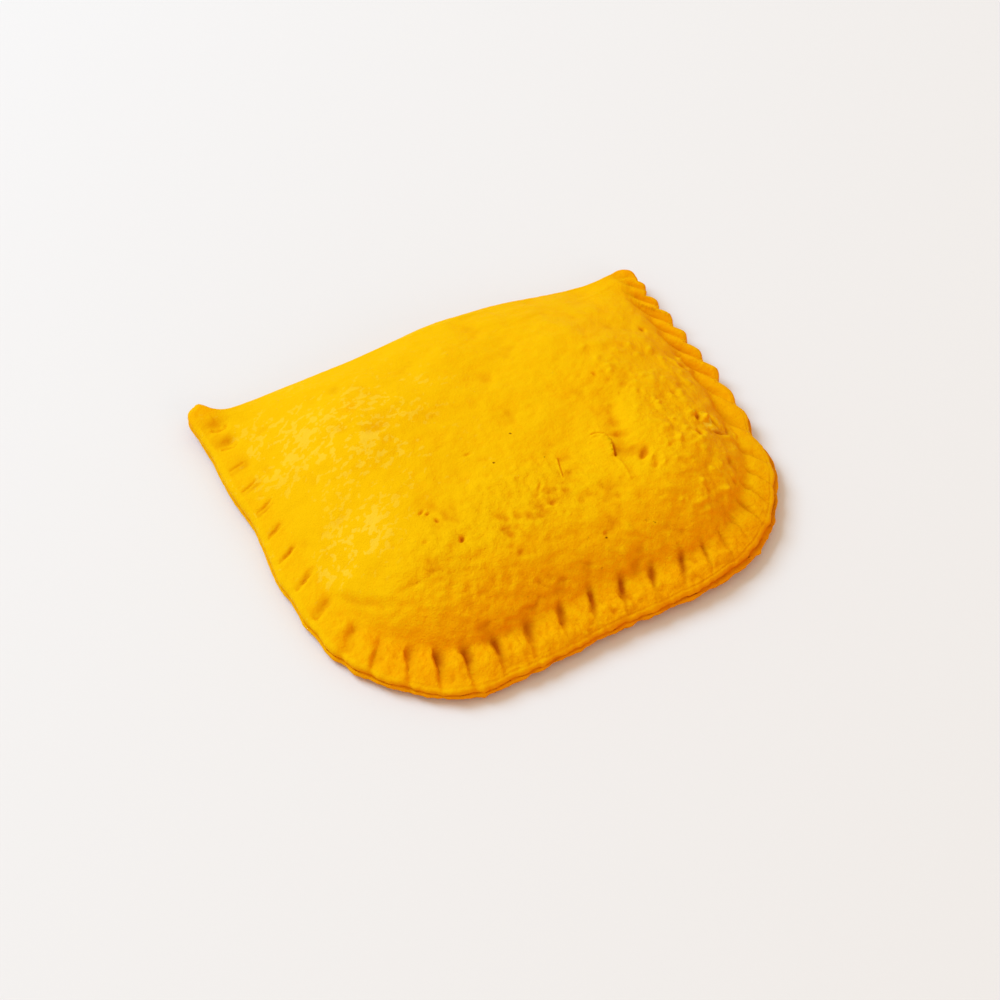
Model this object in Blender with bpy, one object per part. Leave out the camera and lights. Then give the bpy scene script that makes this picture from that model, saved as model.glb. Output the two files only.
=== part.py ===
"""Jamaican patty: one uncut pasty of yellow flaky dough, folded over its filling and crimped shut.

Metres, +Z up. The fold lies along the far side (+Y) with its length on X. The left, front and
right sides are a crimped rim of two dough leaves. The origin is under the middle of its box.
"""
import math

import bmesh
import bpy
import numpy as np

MM = 0.001

# Plan corners in mm, each with the radius that rounds it, from the left ear round by the front
OUTLINE = (
    ((-69.8, 54.6), 3.0),
    ((-61.8, -63.2), 42.0),
    ((71.2, -52.2), 43.0),
    ((71.2, 6.0), 260.0),
    ((67.8, 59.7), 5.0),
    ((6.0, 57.7), 900.0),
)
LEFT_EAR = np.array((-69.0, 53.6)) * MM
RIGHT_EAR = np.array((66.6, 58.6)) * MM
ARC_STEP = math.radians(3.0)

# Places along the crimped edge, as shares of it: left ear, dents below it, left side, near left
# corner, front, near right corner, its far end, right side, far end of that, right ear
PLACES = np.array((0.0, 0.055, 0.16, 0.33, 0.5, 0.66, 0.76, 0.84, 0.95, 1.0))

# Sizes in mm at those places
RIM_WIDTH = (6.5, 8.0, 8.2, 10.8, 12.6, 10.5, 8.0, 5.4, 4.6, 4.5)
RIM_THICKNESS = (4.6, 4.6, 4.6, 4.8, 4.8, 4.6, 4.5, 4.4, 4.4, 4.8)
EDGE_LIFT = (1.6, 0.9, 0.4, 0.7, 1.5, 2.0, 2.0, 1.8, 1.6, 1.6)
FOOT_SOFTNESS = (7.0, 7.0, 6.0, 2.2, 2.2, 2.2, 1.8, 2.2, 3.0, 6.0)
SLOPE_WIDTH = (36.0, 34.0, 29.0, 26.0, 24.0, 22.0, 25.0, 32.0, 38.0, 38.0)
LOWER_LEAF_REACH = (0.0, 0.2, 0.3, 0.6, 0.4, 1.1, 1.1, 0.3, 0.2, 0.1)
CRIMP_PITCH = (7.4, 8.6, 9.0, 9.8, 8.8, 7.9, 9.4, 9.8, 7.6, 6.4)
CRIMP_DEPTH = (0.4, 1.3, 1.5, 1.8, 1.2, 1.1, 1.1, 1.7, 1.5, 0.6)
SCALLOP = (0.0, 0.2, 0.2, 0.4, 0.3, 0.3, 0.5, 1.4, 1.4, 0.8)

# How steeply the dome leaves the rim at those places: 1 is a parabola and 2 starts upright
STEEPNESS = (1.0, 1.0, 1.05, 1.2, 1.3, 1.35, 1.4, 1.3, 1.2, 1.0)
CLIMB_POWER = 2.1

# Uneven places of the edge: middle and half length along it, and how far in they are, in mm
EDGE_DENTS = (
    (14.0, 8.0, 0.7),
    (45.0, 10.0, 0.7),
    (122.0, 9.0, -1.2),
    (171.0, 15.0, 1.3),
    (256.0, 6.0, 1.3),
    (340.0, 7.0, 1.0),
    (418.0, 14.0, 1.3),
)

# Crimps: widths and offsets are shares of the pitch
CRIMP_SEED = 11
CRIMP_WIDTH = 0.21
CRIMP_WIDTH_SPREAD = 0.18
CRIMP_DEPTH_SPREAD = 0.22
CRIMP_OFFSET_SPREAD = 0.07
CRIMP_AT_EDGE = 0.55
CRIMP_FADE_INTO_DOME = 2.0 * MM
SCALLOP_REACH = 5.0 * MM
SCALLOP_MIDDLE = 0.6

# Dome, fold and underside
DOME_HEIGHT = 18.6 * MM
DOME_CENTRE = np.array((3.0, 5.0)) * MM
FOLD_SHARE = 0.46
FOLD_SHARE_AT_EARS = 0.05
FOLD_THICKEST_X = 2.0 * MM
FOLD_HALF_LENGTH = 52.0 * MM
FOLD_CLIMB_WIDTH = 42.0 * MM
FOLD_NOSE_ANGLE = 70.0
FOLD_SMOOTH_REACH = 12.0 * MM
EAR_ZONE = 9.0 * MM
EAR_TIP = np.array((-67.5, 57.0)) * MM
EAR_CURL_HEIGHT = 1.5 * MM
EAR_CURL_RADIUS = 7.0 * MM
EAR_TAB = np.array((1.2, 3.6)) * MM
EAR_TAB_WIDTH = 4.5 * MM
EAR_TAB_REACH = 9.0 * MM
LIFT_REACH = 22.0 * MM
UNDULATION_SEED = 5
UNDULATION_WAVES = 9
UNDULATION_HEIGHT = 0.34 * MM
UNDULATION_LENGTHS = (16.0 * MM, 38.0 * MM)

# Local relief on the top: plan place, reach along and across, turn, and height, in mm and degrees
RELIEF = (
    # Raised lip of the dry crack, then the ridge that runs on from it towards the front
    ((24.6, -11.0), (6.5, 2.4), 80.0, 0.55),
    ((25.0, -20.5), (5.0, 2.2), 85.0, 0.30),
    # Shallow valley beside the crack and the dent at its end
    ((31.0, -10.0), (8.5, 2.6), 80.0, -0.85),
    ((34.5, -19.5), (3.6, 2.4), 30.0, -0.35),
    ((41.0, -13.0), (7.0, 3.5), 70.0, 0.60),
    ((33.0, 2.0), (6.0, 3.0), 80.0, -0.50),
    # Largest pits on the front left of the dome
    ((-21.9, -24.9), (2.4, 1.7), 60.0, -0.35),
    ((-26.2, -13.8), (2.6, 1.8), 20.0, -0.30),
    # Blistered skin near the right edge
    ((55.5, -10.5), (3.0, 2.4), 10.0, -0.85),
    ((52.0, -16.5), (3.0, 2.0), 40.0, 0.60),
    ((59.5, -15.0), (3.0, 2.2), 60.0, 0.55),
)

# Mesh density
STATIONS_PER_CRIMP = 5
FOLD_STATIONS = 26
PLATEAU_RINGS = 6
SLOPE_RINGS = 7
RIM_RINGS = 3
LEAF_STEPS = 4
UNDERSIDE_RINGS = 4
SLOPE_RING_BIAS = 1.5
UNDERSIDE_RING_BIAS = 1.6
FOLD_FOOT = 7.0 * MM
FOLD_SHOULDER = 36.0 * MM
OUTLINE_SAMPLES = 2400
END_SAMPLES = 40
SAMPLES_BEYOND_EARS = 200
POINTS_AT_ONCE = 4000
NORMAL_WINDOW = 50.0 * MM
BEND_REACH = 26.0 * MM

CRUST_COLOUR = (0.90, 0.42, 0.012, 1.0)
CRUST_ROUGHNESS = 0.48


def clear_scene():
    """Remove every object that the file starts with."""
    for item in list(bpy.data.objects):
        bpy.data.objects.remove(item, do_unlink=True)


def smoothstep(value):
    """Ease from 0 to 1 with flat ends."""
    value = np.clip(value, 0.0, 1.0)
    return value * value * (3.0 - 2.0 * value)


def unit(vectors):
    """Vectors of length one."""
    return vectors / np.linalg.norm(vectors, axis=-1, keepdims=True)


def fillet(before, corner, after, radius):
    """Points of the arc that rounds one corner of the plan."""
    to_before = unit(before - corner)
    to_after = unit(after - corner)
    half_angle = math.acos(float(np.clip(to_before @ to_after, -1.0, 1.0))) / 2.0
    centre = corner + unit(to_before + to_after) * radius / math.sin(half_angle)
    start = corner + to_before * radius / math.tan(half_angle) - centre
    turn = math.pi - 2.0 * half_angle
    steps = max(2, math.ceil(turn / ARC_STEP)) + 1
    angles = math.atan2(start[1], start[0]) + np.linspace(0.0, turn, steps)
    return centre + radius * np.column_stack((np.cos(angles), np.sin(angles)))


def plan_loop():
    """Closed plan of the edge, counter-clockwise, as points and their distance along it."""
    corners = [np.array(corner) * MM for corner, _ in OUTLINE]
    arcs = []
    for index, (_, radius) in enumerate(OUTLINE):
        after = corners[(index + 1) % len(corners)]
        arcs.append(fillet(corners[index - 1], corners[index], after, radius * MM))
    points = np.vstack(arcs + [arcs[0][:1]])
    steps = np.linalg.norm(np.diff(points, axis=0), axis=1)
    return points, np.concatenate(([0.0], np.cumsum(steps)))


class Plan:
    """The patty's edge in plan: evenly spaced samples that start at the left ear."""

    def __init__(self):
        points, distances = plan_loop()
        self.length = distances[-1]
        self.step = self.length / OUTLINE_SAMPLES
        self.samples = np.arange(OUTLINE_SAMPLES) * self.step
        columns = [np.interp(self.samples, distances, points[:, axis]) for axis in (0, 1)]
        self.points = np.column_stack(columns)
        self.points = np.roll(self.points, -self.nearest_sample(LEFT_EAR), axis=0)
        self.sealed_count = self.nearest_sample(RIGHT_EAR) + 1
        self.sealed_length = self.samples[self.sealed_count - 1]
        self.inward = self.smoothed_inward()

    def nearest_sample(self, place):
        """Index of the sample that is nearest to a plan place."""
        return int(np.argmin(np.linalg.norm(self.points - place, axis=1)))

    def smoothed_inward(self):
        """Inward directions, averaged along the edge so that lines along them don't cross near it."""
        tangents = np.roll(self.points, -1, axis=0) - np.roll(self.points, 1, axis=0)
        normals = unit(np.column_stack((-tangents[:, 1], tangents[:, 0])))
        reach = int(NORMAL_WINDOW / self.step)
        weights = np.hanning(2 * reach + 1)
        wrapped = np.vstack((normals[-reach:], normals, normals[:reach]))
        columns = [np.convolve(wrapped[:, axis], weights, mode="valid") for axis in (0, 1)]
        return unit(np.column_stack(columns))

    def at(self, field, distance):
        """Value of a per-sample field at distances along the edge."""
        columns = [np.interp(distance, self.samples, field[:, axis], period=self.length)
                   for axis in (0, 1)]
        return np.column_stack(columns)

    def around(self, values, distance):
        """Value at distances along the crimped edge, eased between the named places."""
        share = np.clip(distance / self.sealed_length, 0.0, 1.0)
        index = np.clip(np.searchsorted(PLACES, share, side="right") - 1, 0, len(PLACES) - 2)
        step = smoothstep((share - PLACES[index]) / (PLACES[index + 1] - PLACES[index]))
        values = np.array(values)
        return values[index] + (values[index + 1] - values[index]) * step

    def crimped_line(self):
        """Samples of the crimped edge, run straight on past both ears."""
        sealed = self.points[:self.sealed_count]
        beyond = np.arange(1, SAMPLES_BEYOND_EARS)[:, None] * self.step
        first = sealed[0] + beyond[::-1] * unit(sealed[0] - sealed[END_SAMPLES])
        last = sealed[-1] + beyond * unit(sealed[-1] - sealed[-1 - END_SAMPLES])
        return np.vstack((first, sealed, last))

    def from_crimped_edge(self, plan_points):
        """Distance of plan points from the crimped edge, and their nearest place along it."""
        line = self.crimped_line()
        inset = np.empty(len(plan_points))
        place = np.empty(len(plan_points))
        for start in range(0, len(plan_points), POINTS_AT_ONCE):
            some = plan_points[start:start + POINTS_AT_ONCE]
            gaps = np.hypot(some[:, :1] - line[:, 0], some[:, 1:] - line[:, 1])
            index = np.argmin(gaps, axis=1)
            inset[start:start + len(some)] = gaps[np.arange(len(some)), index]
            place[start:start + len(some)] = (index - (SAMPLES_BEYOND_EARS - 1)) * self.step
        return inset, place

    def from_fold(self, plan_points):
        """Distance of plan points in front of the fold."""
        fold = self.points[self.sealed_count:][::-1]
        return np.interp(plan_points[:, 0], fold[:, 0], fold[:, 1]) - plan_points[:, 1]


class Crimps:
    """The pressed grooves along the crimped edge, each a little uneven."""

    def __init__(self, plan):
        self.plan = plan
        self.distances = plan.samples[:plan.sealed_count]
        pitch = plan.around(CRIMP_PITCH, self.distances) * MM
        counts = np.concatenate(([0.0], np.cumsum(plan.step / pitch[1:])))
        self.count = round(counts[-1])
        self.counts = counts * self.count / counts[-1]
        rng = np.random.default_rng(CRIMP_SEED)
        self.widths = CRIMP_WIDTH * (1.0 + CRIMP_WIDTH_SPREAD * rng.uniform(-1.0, 1.0, self.count))
        self.depths = 1.0 + CRIMP_DEPTH_SPREAD * rng.uniform(-1.0, 1.0, self.count)
        offsets = CRIMP_OFFSET_SPREAD * rng.uniform(-1.0, 1.0, self.count)
        self.middles = np.arange(self.count) + 0.5 + offsets

    def distance_of(self, running_count):
        """Distance along the edge at which a running count of crimps is reached."""
        return np.interp(running_count, self.counts, self.distances)

    def lobes(self, distance):
        """0 where a groove reaches the edge and 1 halfway to the next, with round lobes between."""
        return np.abs(np.cos(math.pi * np.interp(distance, self.distances, self.counts)))

    def shape(self, distance):
        """1 in the middle of a groove and 0 on a ridge."""
        count = np.interp(distance, self.distances, self.counts)
        index = np.clip(count.astype(int), 0, self.count - 1)
        away = (count - self.middles[index]) / self.widths[index]
        return self.depths[index] * np.exp(-away ** 2)

    def depth(self, distance):
        """Depth of the grooves where they are deepest."""
        return self.plan.around(CRIMP_DEPTH, distance) * MM * self.shape(distance)


class Stations:
    """What is known at each station round the edge, from which the sections start."""

    def __init__(self, plan, crimps):
        crimp_stations = np.arange(crimps.count * STATIONS_PER_CRIMP) / STATIONS_PER_CRIMP
        fold_length = plan.length - plan.sealed_length
        fold_stations = plan.sealed_length + fold_length * np.arange(FOLD_STATIONS) / FOLD_STATIONS
        distance = np.concatenate((crimps.distance_of(crimp_stations), fold_stations))
        into_fold = np.minimum(distance - plan.sealed_length, plan.length - distance)
        self.sealed = 1.0 - smoothstep(into_fold / EAR_ZONE)
        self.edge = plan.at(plan.points, distance)
        self.inward = unit(plan.at(plan.inward, distance))
        self.reach = np.linalg.norm(DOME_CENTRE - self.edge, axis=1)
        self.to_centre = unit(DOME_CENTRE - self.edge)
        self.leaf_reach = plan.around(LOWER_LEAF_REACH, distance) * MM * self.sealed
        scallop = plan.around(SCALLOP, distance) * MM
        self.scallop = scallop * (crimps.lobes(distance) - SCALLOP_MIDDLE) * self.sealed
        for middle, half_length, depth in EDGE_DENTS:
            off = (distance / MM - middle) / half_length
            self.scallop = self.scallop - depth * MM * np.exp(-off ** 2)
        from_ear = np.minimum(distance, plan.length - distance)
        self.tab = np.exp(-(from_ear / EAR_TAB_WIDTH) ** 2)
        foot = plan.around(RIM_WIDTH, distance) * MM
        shoulder = foot + plan.around(SLOPE_WIDTH, distance) * MM
        self.foot = FOLD_FOOT + (foot - FOLD_FOOT) * self.sealed
        self.shoulder = FOLD_SHOULDER + (shoulder - FOLD_SHOULDER) * self.sealed

    def plan_point(self, inset):
        """Plan points at an inset from the edge, bending from square-on towards the dome's centre."""
        bend = smoothstep(inset / BEND_REACH)[:, None]
        outward = self.scallop * (1.0 - smoothstep(inset / SCALLOP_REACH))
        tab = self.tab * (1.0 - smoothstep(inset / EAR_TAB_REACH))
        direction = (1.0 - bend) * self.inward + bend * self.to_centre
        place = self.edge + inset[:, None] * direction - outward[:, None] * self.inward
        return place + tab[:, None] * EAR_TAB


def undulation(plan_points):
    """Broad uneven waves of the dough, from a seeded sum of plane waves."""
    rng = np.random.default_rng(UNDULATION_SEED)
    height = np.zeros(len(plan_points))
    for _ in range(UNDULATION_WAVES):
        turn = rng.uniform(0.0, math.pi)
        length = rng.uniform(*UNDULATION_LENGTHS)
        phase = rng.uniform(0.0, 2.0 * math.pi)
        across = plan_points @ np.array((math.cos(turn), math.sin(turn)))
        height += np.sin(2.0 * math.pi * across / length + phase)
    return height * UNDULATION_HEIGHT / math.sqrt(UNDULATION_WAVES)


def local_relief(plan_points):
    """Height of the dents, pits, blisters and ridges at plan points."""
    height = np.zeros(len(plan_points))
    for place, (along, across), turn, rise in RELIEF:
        angle = math.radians(turn)
        offset = plan_points - np.array(place) * MM
        forward = offset @ np.array((math.cos(angle), math.sin(angle))) / (along * MM)
        sideways = offset @ np.array((-math.sin(angle), math.cos(angle))) / (across * MM)
        height += rise * MM * np.exp(-forward ** 2 - sideways ** 2)
    return height


class Surface:
    """Heights of the top crust and of the underside over the plan."""

    def __init__(self, plan, crimps):
        self.plan = plan
        self.crimps = crimps

    def underside(self, plan_points):
        """Height of the underside: flat in the middle, lifted at the crimped edge and left ear."""
        inset, place = self.plan.from_crimped_edge(plan_points)
        lift = self.plan.around(EDGE_LIFT, place) * MM * (1.0 - smoothstep(inset / LIFT_REACH))
        from_ear = np.linalg.norm(plan_points - EAR_TIP, axis=1) / EAR_CURL_RADIUS
        return lift + EAR_CURL_HEIGHT * np.exp(-from_ear ** 2)

    def dome_share(self, inset, place, plan_points):
        """Share of the dome's height, from 0 on the rim to 1 on the plateau."""
        climb = inset - self.plan.around(RIM_WIDTH, place) * MM
        softness = self.plan.around(FOOT_SOFTNESS, place) * MM
        climb = (climb + np.sqrt(climb ** 2 + softness ** 2)) / 2.0
        climb = np.clip(climb / (self.plan.around(SLOPE_WIDTH, place) * MM), 0.0, 1.0)
        side = (1.0 - (1.0 - climb) ** CLIMB_POWER) ** (1.0 / self.plan.around(STEEPNESS, place))
        along_fold = np.clip((plan_points[:, 0] - FOLD_THICKEST_X) / FOLD_HALF_LENGTH, -1.0, 1.0)
        arch = (1.0 - along_fold ** 2) ** 2
        at_fold = FOLD_SHARE_AT_EARS + (FOLD_SHARE - FOLD_SHARE_AT_EARS) * arch
        fold_climb = np.clip(self.plan.from_fold(plan_points) / FOLD_CLIMB_WIDTH, 0.0, 1.0)
        return side * (at_fold + (1.0 - at_fold) * (1.0 - (1.0 - fold_climb) ** 2))

    def groove_depth(self, inset, place):
        """Depth of the crimps: least at the edge, most under the dome, where they end."""
        rim_width = self.plan.around(RIM_WIDTH, place) * MM
        on_rim = CRIMP_AT_EDGE + (1.0 - CRIMP_AT_EDGE) * smoothstep(inset / rim_width)
        past_rim = np.maximum(inset - rim_width, 0.0) / CRIMP_FADE_INTO_DOME
        return self.crimps.depth(place) * on_rim * np.exp(-past_rim ** 2)

    def unevenness(self, inset, place, plan_points):
        """Waves and local relief, which fade out on the rim and calm down along the fold."""
        rim_width = self.plan.around(RIM_WIDTH, place) * MM
        off_rim = smoothstep((inset - 0.5 * rim_width) / (2.0 * rim_width))
        off_fold = smoothstep(self.plan.from_fold(plan_points) / FOLD_SMOOTH_REACH)
        calm = 0.4 + 0.6 * off_fold
        return off_rim * calm * (undulation(plan_points) + local_relief(plan_points))

    def top(self, plan_points):
        """Height of the top crust."""
        inset, place = self.plan.from_crimped_edge(plan_points)
        thickness = self.plan.around(RIM_THICKNESS, place) * MM
        share = self.dome_share(inset, place, plan_points)
        height = self.underside(plan_points) + thickness + (DOME_HEIGHT - thickness) * share
        height = height - self.groove_depth(inset, place)
        return height + self.unevenness(inset, place, plan_points)


class Sections:
    """Rings of points from the centre of the top, over the edge, to the centre of the underside."""

    def __init__(self):
        plan = Plan()
        crimps = Crimps(plan)
        self.surface = Surface(plan, crimps)
        self.stations = Stations(plan, crimps)
        self.nose_inset, self.nose_thickness = self.nose()

    def ring(self, inset, height_of):
        """One ring of points at an inset, with a height for each plan point."""
        plan_points = self.stations.plan_point(inset)
        return np.column_stack((plan_points, height_of(plan_points)))

    def nose(self):
        """Inset at which the round edge begins, and the thickness there."""
        stations = self.stations
        inset = np.full(len(stations.reach), 4.0 * MM)
        top_angle = math.radians(FOLD_NOSE_ANGLE)
        for _ in range(3):
            plan_points = stations.plan_point(inset)
            thickness = self.surface.top(plan_points) - self.surface.underside(plan_points)
            fold_nose = thickness * (1.0 - math.cos(top_angle)) / (1.0 + math.sin(top_angle))
            rim_nose = thickness / 4.0 + stations.leaf_reach
            inset = stations.sealed * rim_nose + (1.0 - stations.sealed) * fold_nose
        return inset, thickness

    def top_rings(self):
        """Rings of the top crust from the dome's centre out to the edge."""
        stations = self.stations
        insets = [stations.shoulder + (stations.reach - stations.shoulder) * share
                  for share in np.linspace(1.0, 0.0, PLATEAU_RINGS, endpoint=False)]
        insets += [stations.foot + (stations.shoulder - stations.foot) * share ** SLOPE_RING_BIAS
                   for share in np.linspace(1.0, 0.0, SLOPE_RINGS, endpoint=False)]
        insets += [self.nose_inset + (stations.foot - self.nose_inset) * share
                   for share in np.linspace(1.0, 0.0, RIM_RINGS, endpoint=False)]
        return [self.ring(inset, self.surface.top) for inset in insets]

    def edge_ring(self, angle, fold_angle, upper):
        """One ring of the edge: a leaf's round side on the rim, the round nose on the fold."""
        stations = self.stations
        leaf = self.nose_thickness / 4.0
        leaf_inset = leaf * (1.0 - math.cos(angle))
        leaf_height = leaf * (1.0 + math.sin(angle))
        if upper:
            leaf_inset = leaf_inset + stations.leaf_reach
            leaf_height = leaf_height + 2.0 * leaf
        radius = self.nose_thickness / (1.0 + math.sin(math.radians(FOLD_NOSE_ANGLE)))
        fold_inset = radius * (1.0 - math.cos(fold_angle))
        fold_height = radius * (1.0 + math.sin(fold_angle))
        inset = stations.sealed * leaf_inset + (1.0 - stations.sealed) * fold_inset
        height = stations.sealed * leaf_height + (1.0 - stations.sealed) * fold_height
        return self.ring(inset, lambda plan_points: self.surface.underside(plan_points) + height)

    def edge_rings(self):
        """Rings of the edge from top to bottom."""
        upper = np.linspace(math.pi / 2.0, -math.pi / 2.0, LEAF_STEPS + 1)
        leaf_angles = list(upper) + list(upper[1:])
        fold_top = math.radians(FOLD_NOSE_ANGLE)
        fold_angles = np.linspace(fold_top, -math.pi / 2.0, len(leaf_angles))
        return [self.edge_ring(angle, fold_angle, index <= LEAF_STEPS)
                for index, (angle, fold_angle) in enumerate(zip(leaf_angles, fold_angles))]

    def underside_rings(self):
        """Rings of the underside from the edge in to its centre."""
        stations = self.stations
        rim = self.nose_thickness / 4.0
        fold = self.nose_thickness / (1.0 + math.sin(math.radians(FOLD_NOSE_ANGLE)))
        start = stations.sealed * rim + (1.0 - stations.sealed) * fold
        shares = np.linspace(0.0, 1.0, UNDERSIDE_RINGS + 1)[1:] ** UNDERSIDE_RING_BIAS
        insets = [start + (stations.reach - start) * share for share in shares]
        return [self.ring(inset, self.surface.underside) for inset in insets]

    def all_rings(self):
        """Every ring, moved so that the box's bottom centre is the origin."""
        rings = np.array(self.top_rings() + self.edge_rings() + self.underside_rings())
        low = rings.min(axis=(0, 1))
        high = rings.max(axis=(0, 1))
        middle = (low + high) / 2.0
        return rings - np.array((middle[0], middle[1], low[2]))


def drape_sphere(rings):
    """Draw a UV sphere over the rings: its rings follow theirs, and its segments the stations."""
    ring_count, station_count = rings.shape[:2]
    bm = bmesh.new()
    bmesh.ops.create_uvsphere(bm, u_segments=station_count, v_segments=ring_count - 1, radius=1.0)
    for vertex in bm.verts:
        x, y, z = vertex.co
        polar = math.acos(max(-1.0, min(1.0, z)))
        ring = round(polar / math.pi * (ring_count - 1))
        station = round(math.atan2(y, x) / (2.0 * math.pi) * station_count) % station_count
        vertex.co = rings[ring, station]
    bmesh.ops.triangulate(bm, faces=bm.faces)
    return bm


def crust_material():
    """Baked yellow dough with a faint satin surface."""
    material = bpy.data.materials.new("patty_crust")
    material.use_nodes = True
    shader = material.node_tree.nodes["Principled BSDF"]
    shader.inputs["Base Color"].default_value = CRUST_COLOUR
    shader.inputs["Roughness"].default_value = CRUST_ROUGHNESS
    shader.inputs["Metallic"].default_value = 0.0
    return material


def build_patty(collection):
    """The whole patty as one closed solid."""
    bm = drape_sphere(Sections().all_rings())
    mesh = bpy.data.meshes.new("patty")
    bm.to_mesh(mesh)
    bm.free()
    mesh.materials.append(crust_material())
    mesh.shade_smooth()
    patty = bpy.data.objects.new("patty", mesh)
    collection.objects.link(patty)
    return patty


def main():
    """Build the scene."""
    clear_scene()
    collection = bpy.data.collections.new("jamaican_patty")
    bpy.context.scene.collection.children.link(collection)
    build_patty(collection)


main()
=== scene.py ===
"""Looks of the jamaican patty: the crust's fine surface and colours, on a plain pale stage.

Metres, +Z up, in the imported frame. The crust has the solid's outline, dome and fold, at a far finer
density and with each crimp groove in its own place. It adds what a solid with few faces can't hold:
wrinkles, pits, blisters, the dry crack and the fine grain of the dough.
"""
import math

import bmesh
import bpy
import numpy as np
from mathutils import Matrix, Vector, noise

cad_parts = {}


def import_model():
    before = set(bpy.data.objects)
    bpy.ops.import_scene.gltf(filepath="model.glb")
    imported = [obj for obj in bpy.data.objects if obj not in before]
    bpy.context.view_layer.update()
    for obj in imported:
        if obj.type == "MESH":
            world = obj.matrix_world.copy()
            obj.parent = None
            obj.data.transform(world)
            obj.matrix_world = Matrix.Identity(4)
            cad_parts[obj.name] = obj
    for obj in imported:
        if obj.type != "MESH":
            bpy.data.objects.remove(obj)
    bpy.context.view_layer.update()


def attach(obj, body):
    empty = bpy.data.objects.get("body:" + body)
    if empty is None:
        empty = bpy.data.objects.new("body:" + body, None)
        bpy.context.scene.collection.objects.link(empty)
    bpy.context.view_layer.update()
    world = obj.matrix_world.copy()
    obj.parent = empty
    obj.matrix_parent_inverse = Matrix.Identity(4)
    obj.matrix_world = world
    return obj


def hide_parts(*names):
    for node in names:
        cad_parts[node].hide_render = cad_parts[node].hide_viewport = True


MM = 0.001

# Plan corners in mm, each with the radius that rounds it, from the left ear round by the front
OUTLINE = (
    ((-69.8, 54.6), 3.0),
    ((-61.8, -63.2), 42.0),
    ((71.2, -52.2), 43.0),
    ((71.2, 6.0), 260.0),
    ((67.8, 59.7), 5.0),
    ((6.0, 57.7), 900.0),
)
LEFT_EAR = np.array((-69.0, 53.6)) * MM
RIGHT_EAR = np.array((66.6, 58.6)) * MM
# Largest turn between two points of a rounded corner, and the middle of the frame in this plan
ARC_STEP = math.radians(3.0)
FRAME_MIDDLE = np.array((1.3722, -0.4503)) * MM

# Places along the crimped edge, as shares of it: left ear, dents below it, left side, near left
# corner, front, near right corner, its far end, right side, far end of that, right ear
PLACES = np.array((0.0, 0.055, 0.16, 0.33, 0.5, 0.66, 0.76, 0.84, 0.95, 1.0))

# Sizes in mm at those places
RIM_WIDTH = (6.5, 8.0, 8.2, 10.8, 12.6, 10.5, 8.0, 6.2, 5.4, 4.8)
RIM_THICKNESS = (4.6, 4.6, 4.6, 4.8, 4.8, 4.6, 4.5, 4.4, 4.4, 4.8)
EDGE_LIFT = (1.6, 0.9, 0.4, 0.7, 1.5, 2.0, 2.0, 1.8, 1.6, 1.6)
EDGE_DROOP = (0.5, 0.7, 0.9, 1.4, 2.1, 1.9, 1.5, 0.8, 0.7, 0.3)
FOOT_SOFTNESS = (7.0, 7.0, 6.0, 2.2, 2.2, 2.2, 1.4, 1.2, 1.6, 5.0)
FOOT_VALLEY = (0.0, 0.0, 0.1, 0.9, 0.5, 0.3, 0.3, 0.7, 0.6, 0.0)
SLOPE_WIDTH = (36.0, 34.0, 29.0, 26.0, 24.0, 22.0, 25.0, 32.0, 38.0, 38.0)
LOWER_LEAF_REACH = (0.0, 0.1, 0.2, 0.4, 0.4, 1.1, 1.1, 0.2, 0.1, 0.0)
CRIMP_REACH = (6.5, 7.0, 5.4, 8.8, 11.6, 10.0, 7.2, 6.2, 5.4, 4.8)
CRIMP_DEPTH = (0.1, 0.2, 0.50, 1.5, 0.8, 0.8, 0.9, 2.2, 2.1, 0.8)
SCALLOP = (0.0, 0.1, 0.1, 0.5, 0.2, 0.1, 0.4, 2.0, 2.1, 1.3)

# Shares at those places: how steeply the dome leaves the rim (1 is a parabola and 2 starts
# upright), how rough the rim is, how much the leaves' edges waver, the lower leaf's part of the
# edge, how much of a groove's depth and of its width are left at the edge, its width as a share of
# the pitch, how much its far side is steeper than its near side, and how it slants
STEEPNESS = (1.0, 1.0, 1.05, 1.2, 1.3, 1.3, 1.25, 1.3, 1.2, 1.0)
RIM_ROUGHNESS = (0.1, 0.1, 0.15, 0.6, 0.8, 0.5, 0.15, 0.15, 0.15, 0.15)
LEAF_WAVERING = (0.2, 0.2, 0.3, 1.0, 1.0, 1.5, 0.8, 0.3, 0.3, 0.3)
LOWER_LEAF_SHARE = (0.34, 0.34, 0.36, 0.52, 0.48, 0.45, 0.42, 0.40, 0.40, 0.40)
CRIMP_AT_EDGE = (0.3, 0.3, 0.15, 0.4, 0.15, 0.3, 0.4, 0.9, 0.9, 0.5)
CRIMP_TAPER = (1.0, 1.0, 0.8, 0.8, 0.4, 0.5, 0.9, 1.0, 1.0, 1.0)
CRIMP_WIDTH = (0.20, 0.18, 0.095, 0.19, 0.12, 0.10, 0.12, 0.22, 0.22, 0.2)
CRIMP_LEAN = (0.0, 0.4, 0.75, -0.6, -0.2, 0.0, -0.5, -0.6, -0.6, 0.0)
CRIMP_SLANT = (0.0, 0.0, 0.34, 0.34, -0.3, -0.5, -0.7, -1.5, -1.4, -1.0)

# How soon the dome's climb from the rim levels off
CLIMB_POWER = 2.1

# Middles of the crimp grooves, in mm along the edge from the left ear, on both sides of the front,
# where they are evenly spaced
LEFT_GROOVES = (5.4, 12.6, 23.8, 32.5, 41.8, 49.6, 57.9, 67.8, 77.8, 91.0, 100.5, 110.9, 119.3,
                127.5, 136.5)
RIGHT_GROOVES = (197.0, 205.0, 213.0, 221.0, 228.5, 235.5, 243.7, 255.5, 267.3, 277.4, 285.9,
                 294.6, 302.0, 310.3, 317.1, 323.0)
FRONT_GROOVES = 6
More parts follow.
